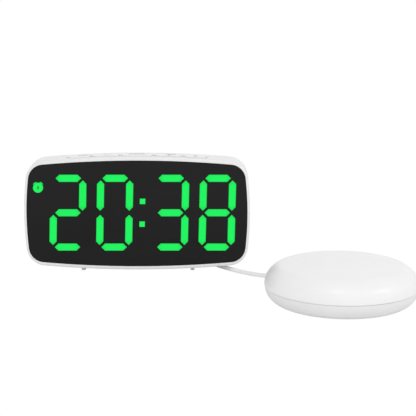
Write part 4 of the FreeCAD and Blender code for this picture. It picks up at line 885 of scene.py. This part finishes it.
def makeDigits(spec):
    across, upright = [], []
    for lit, middle in spec["digits"]:
        for letter in lit:
            column, row, stands = barPlaces[letter]
            spot = (middle + column * spec["halfWide"], row * spec["halfTall"] + spec["raised"])
            (upright if stands else across).append(spot)
    tree = barTree(spec, litGreen)
    sizes = {"Width": spec["bar"], "Thickness": spec["thick"]}
    flat = {**sizes, "Length": spec["acrossLength"], "Turn": 0.0}
    tall = {**sizes, "Length": spec["uprightLength"], "Turn": math.radians(90)}
    return [
        grow("barsAcross", tree, flat, pointCloud("acrossSpots", across)),
        grow("barsUpright", tree, tall, pointCloud("uprightSpots", upright)),
    ]


def plate(name, outline, thick, inset=0.0):
    # a flat lit plate from its outline points; with an inset only its core is bright
    shape = bmesh.new()
    core = shape.verts.layers.float.new("core")
    middle = Vector((sum(x for x, y in outline), sum(y for x, y in outline), 0)) / len(outline)
    levels = [(0.0, 0.0), (thick, 0.0)] + ([(thick, inset)] if inset else [])
    rings = []
    for height, pull in levels:
        ring = []
        for x, y in outline:
            inward = Vector((middle.x - x, middle.y - y, 0)).normalized() * pull
            vertex = shape.verts.new((x + inward.x, y + inward.y, height))
            vertex[core] = 1.0 if pull == inset else 0.0
            ring.append(vertex)
        rings.append(ring)
    for low, high in zip(rings, rings[1:]):
        for k in range(len(outline)):
            after = (k + 1) % len(outline)
            shape.faces.new((low[k], low[after], high[after], high[k]))
    shape.faces.new(rings[-1])
    shape.faces.new(rings[0][::-1])
    return meshPiece(name, shape, litGreen)


def makeColon(spec):
    dots = []
    half = spec["colonSize"] / 2
    left, right = spec["colonAcross"] - half, spec["colonAcross"] + half
    for side in (-1, 1):
        middle = side * spec["colonUp"] + spec["raised"]
        low, high = middle - half, middle + half
        corners = [(left, low), (right, low), (right, high), (left, high)]
        dots.append(plate("colonDot", corners, spec["thick"], spec["dotInset"]))
    return dots


# A generic alarm symbol: a round body with a dark hand, and two flat bells.
alarmSign = {
    "middle": (-0.0711, 0.0186),
    "body": 0.0036,
    "handWide": 0.00042,
    "handTall": 0.00125,
    "bell": 0.0016,
    "bellFlat": 0.42,
    "bellOut": 0.00375,
    "bellTilt": 37,  # from upright
    "steps": 40,
    "plates": 10,
    "bellStep": 15,
}


def makeAlarmSign(spec, thick):
    parts = []
    middle, steps = spec["middle"], spec["steps"]
    perPlate = steps // spec["plates"]
    turns = [math.tau * k / steps for k in range(steps + 1)]
    outer = [onOval(middle, spec["body"], spec["body"], turn) for turn in turns]
    inner = [onOval(middle, spec["handWide"], spec["handTall"], turn) for turn in turns]
    for k in range(0, steps, perPlate):
        ends = slice(k, k + perPlate + 1)
        parts.append(plate("signBody", outer[ends] + inner[ends][::-1], thick))
    for side in (-1, 1):
        tilt = math.radians(90 - side * spec["bellTilt"])
        away, along = Vector((math.cos(tilt), math.sin(tilt))), Vector((-math.sin(tilt), math.cos(tilt)))
        foot = Vector(middle) + away * spec["bellOut"]
        bell = []
        for angle in range(-90, 91, spec["bellStep"]):
            out, aside = onOval((0, 0), spec["bell"] * spec["bellFlat"], spec["bell"], math.radians(angle))
            bell.append(tuple(foot + away * out + along * aside))
        parts.append(plate("signBell", bell, thick))
    return parts


litParts = makeDigits(display) + makeColon(display) + makeAlarmSign(alarmSign, display["thick"])
litBars = joined("litBars", litParts, litGreen)
litBars.data.transform(faceMatrix(display))
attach(litBars, "root")
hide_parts("segment_diffusers")
litBars.visible_diffuse = False  # the bars glow without tinting the white shells
litBars.visible_glossy = False
print("display lit,", len(litBars.data.polygons), "faces")

# Finishes on the solids that stay.
slotFinishes = {
    "white_case": plastics["shellWhite"],
    "grey_white_case": plastics["shakerBaseWhite"],
    "smoked_lens": lensBlack,
    "black_plastic": plastics["darkPlastic"],
    "lit_segments": litGreen,
    "led_chip": plastics["lampResin"],
    "board_green": boardGreen,
    "steel": steel,
    "weight_metal": brass,
    "grey_plastic": plastics["greyPlastic"],
    "speaker_cone": plastics["coneBlack"],
    "rubber_grey": plastics["footRubber"],
    "cord_white": plastics["cordVinyl"],
    "tie_black": plastics["tieVinyl"],
}
for entry in frame["record"]["subparts"]:
    for place in cadNodes[entry["node"]].material_slots:
        place.material = slotFinishes[entry["material_slot"]]
print("inner parts finished")

# Floor, lamps and background.
studio = {
    "floorReach": 6.0,
    "floorGlow": (1.0, 1.02),
    "floorHeight": -0.0001,
    "bounceColour": (0.82, 0.82, 0.82),
    "bounceShade": (0.81, 0.81, 0.81),
    "bounceGlow": 0.08,
    "bounceRoughness": 0.9,
    "bounceHeight": -0.0002,
    "patchScale": 2,
    "skyFront": 1.20,
    "skySides": 0.88,
    "skyBehind": 1.02,
    "skyDip": 0.20,  # darker overhead
    "lampSize": 0.09,
    "lampPower": 0.40,  # watts
    "lampAim": (0.085, -0.08, 0.023),
    "leftLamp": (-0.002, -0.385, 0.537),
    "rightLamp": (0.536, -0.229, 0.413),
}
# from where to where each part of the sky fades, as the direction's y or z
skyFades = {"front": (-1.0, -0.05), "behind": (0.05, 0.5), "overhead": (0.15, 0.95)}
plainWhite = (1.0, 1.0, 1.0, 1.0)


def floorPlane(name, reach, height, material):
    mesh = bpy.data.meshes.new(name)
    corners = [(-1, -1), (1, -1), (1, 1), (-1, 1)]
    mesh.from_pydata([(x * reach, y * reach, height) for x, y in corners], [], [(0, 1, 2, 3)])
    mesh.materials.append(material)
    floor = addObject(name, mesh)
    return floor


def makeFloors(spec):
    # a plain white sweep that only the camera sees, and a matt one that only the light sees
    white, tree, shader = startMaterial("whiteSweep", {
        "Roughness": 1.0, "Specular IOR Level": 0.0, "Base Color": (0.0, 0.0, 0.0, 1.0),
        "Emission Color": plainWhite,
    })
    feed(tree, shader, "Emission Strength", spread(tree, noise(tree, spec["patchScale"]), *spec["floorGlow"]))
    sweep = floorPlane("studioSweep", spec["floorReach"], spec["floorHeight"], white)
    for ray in ("visible_diffuse", "visible_glossy", "visible_transmission", "visible_shadow"):
        setattr(sweep, ray, False)
    matt, tree, shader = startMaterial("mattSweep", {
        "Roughness": spec["bounceRoughness"], "Specular IOR Level": 0.0,
        "Emission Strength": spec["bounceGlow"],
    })
    look = {"colour": spec["bounceColour"], "shade": spec["bounceShade"]}
    clouded(tree, shader, noise(tree, spec["patchScale"]), look)
    bounce = floorPlane("studioBounce", spec["floorReach"], spec["bounceHeight"], matt)
    bounce.visible_camera = False


def areaLight(name, place, aim, size, power):
    light = bpy.data.lights.new(name, "AREA")
    light.shape = "DISK"
    light.size = size
    light.energy = power
    lamp = addObject(name, light)
    lamp.location = place
    lamp.rotation_euler = (Vector(aim) - Vector(place)).to_track_quat("-Z", "Y").to_euler()


def makeSky(spec, fades):
    # brighter in front of the clock, and dimmer at the sides and overhead
    world = bpy.data.worlds.new("studioSky")
    world.use_nodes = True
    tree = world.node_tree
    _, y, z = split(tree, addNode(tree, "ShaderNodeTexCoord").outputs["Generated"])
    front = spread(tree, y, spec["skyFront"], spec["skySides"], *fades["front"])
    behind = spread(tree, y, spec["skySides"], spec["skyBehind"], *fades["behind"])
    overhead = spread(tree, z, 0.0, spec["skyDip"], *fades["overhead"])
    backdrop = tree.nodes["Background"]
    feed(tree, backdrop, "Color", plainWhite)
    feed(tree, backdrop, "Strength", calc(tree, "SUBTRACT", calc(tree, "MAXIMUM", front, behind), overhead))
    return world


makeFloors(studio)
for lamp in ("leftLamp", "rightLamp"):
    areaLight(lamp, studio[lamp], studio["lampAim"], studio["lampSize"], studio["lampPower"])
sceneRoot.world = makeSky(studio, skyFades)
sceneRoot.view_settings.view_transform = "Standard"
print("studio ready")
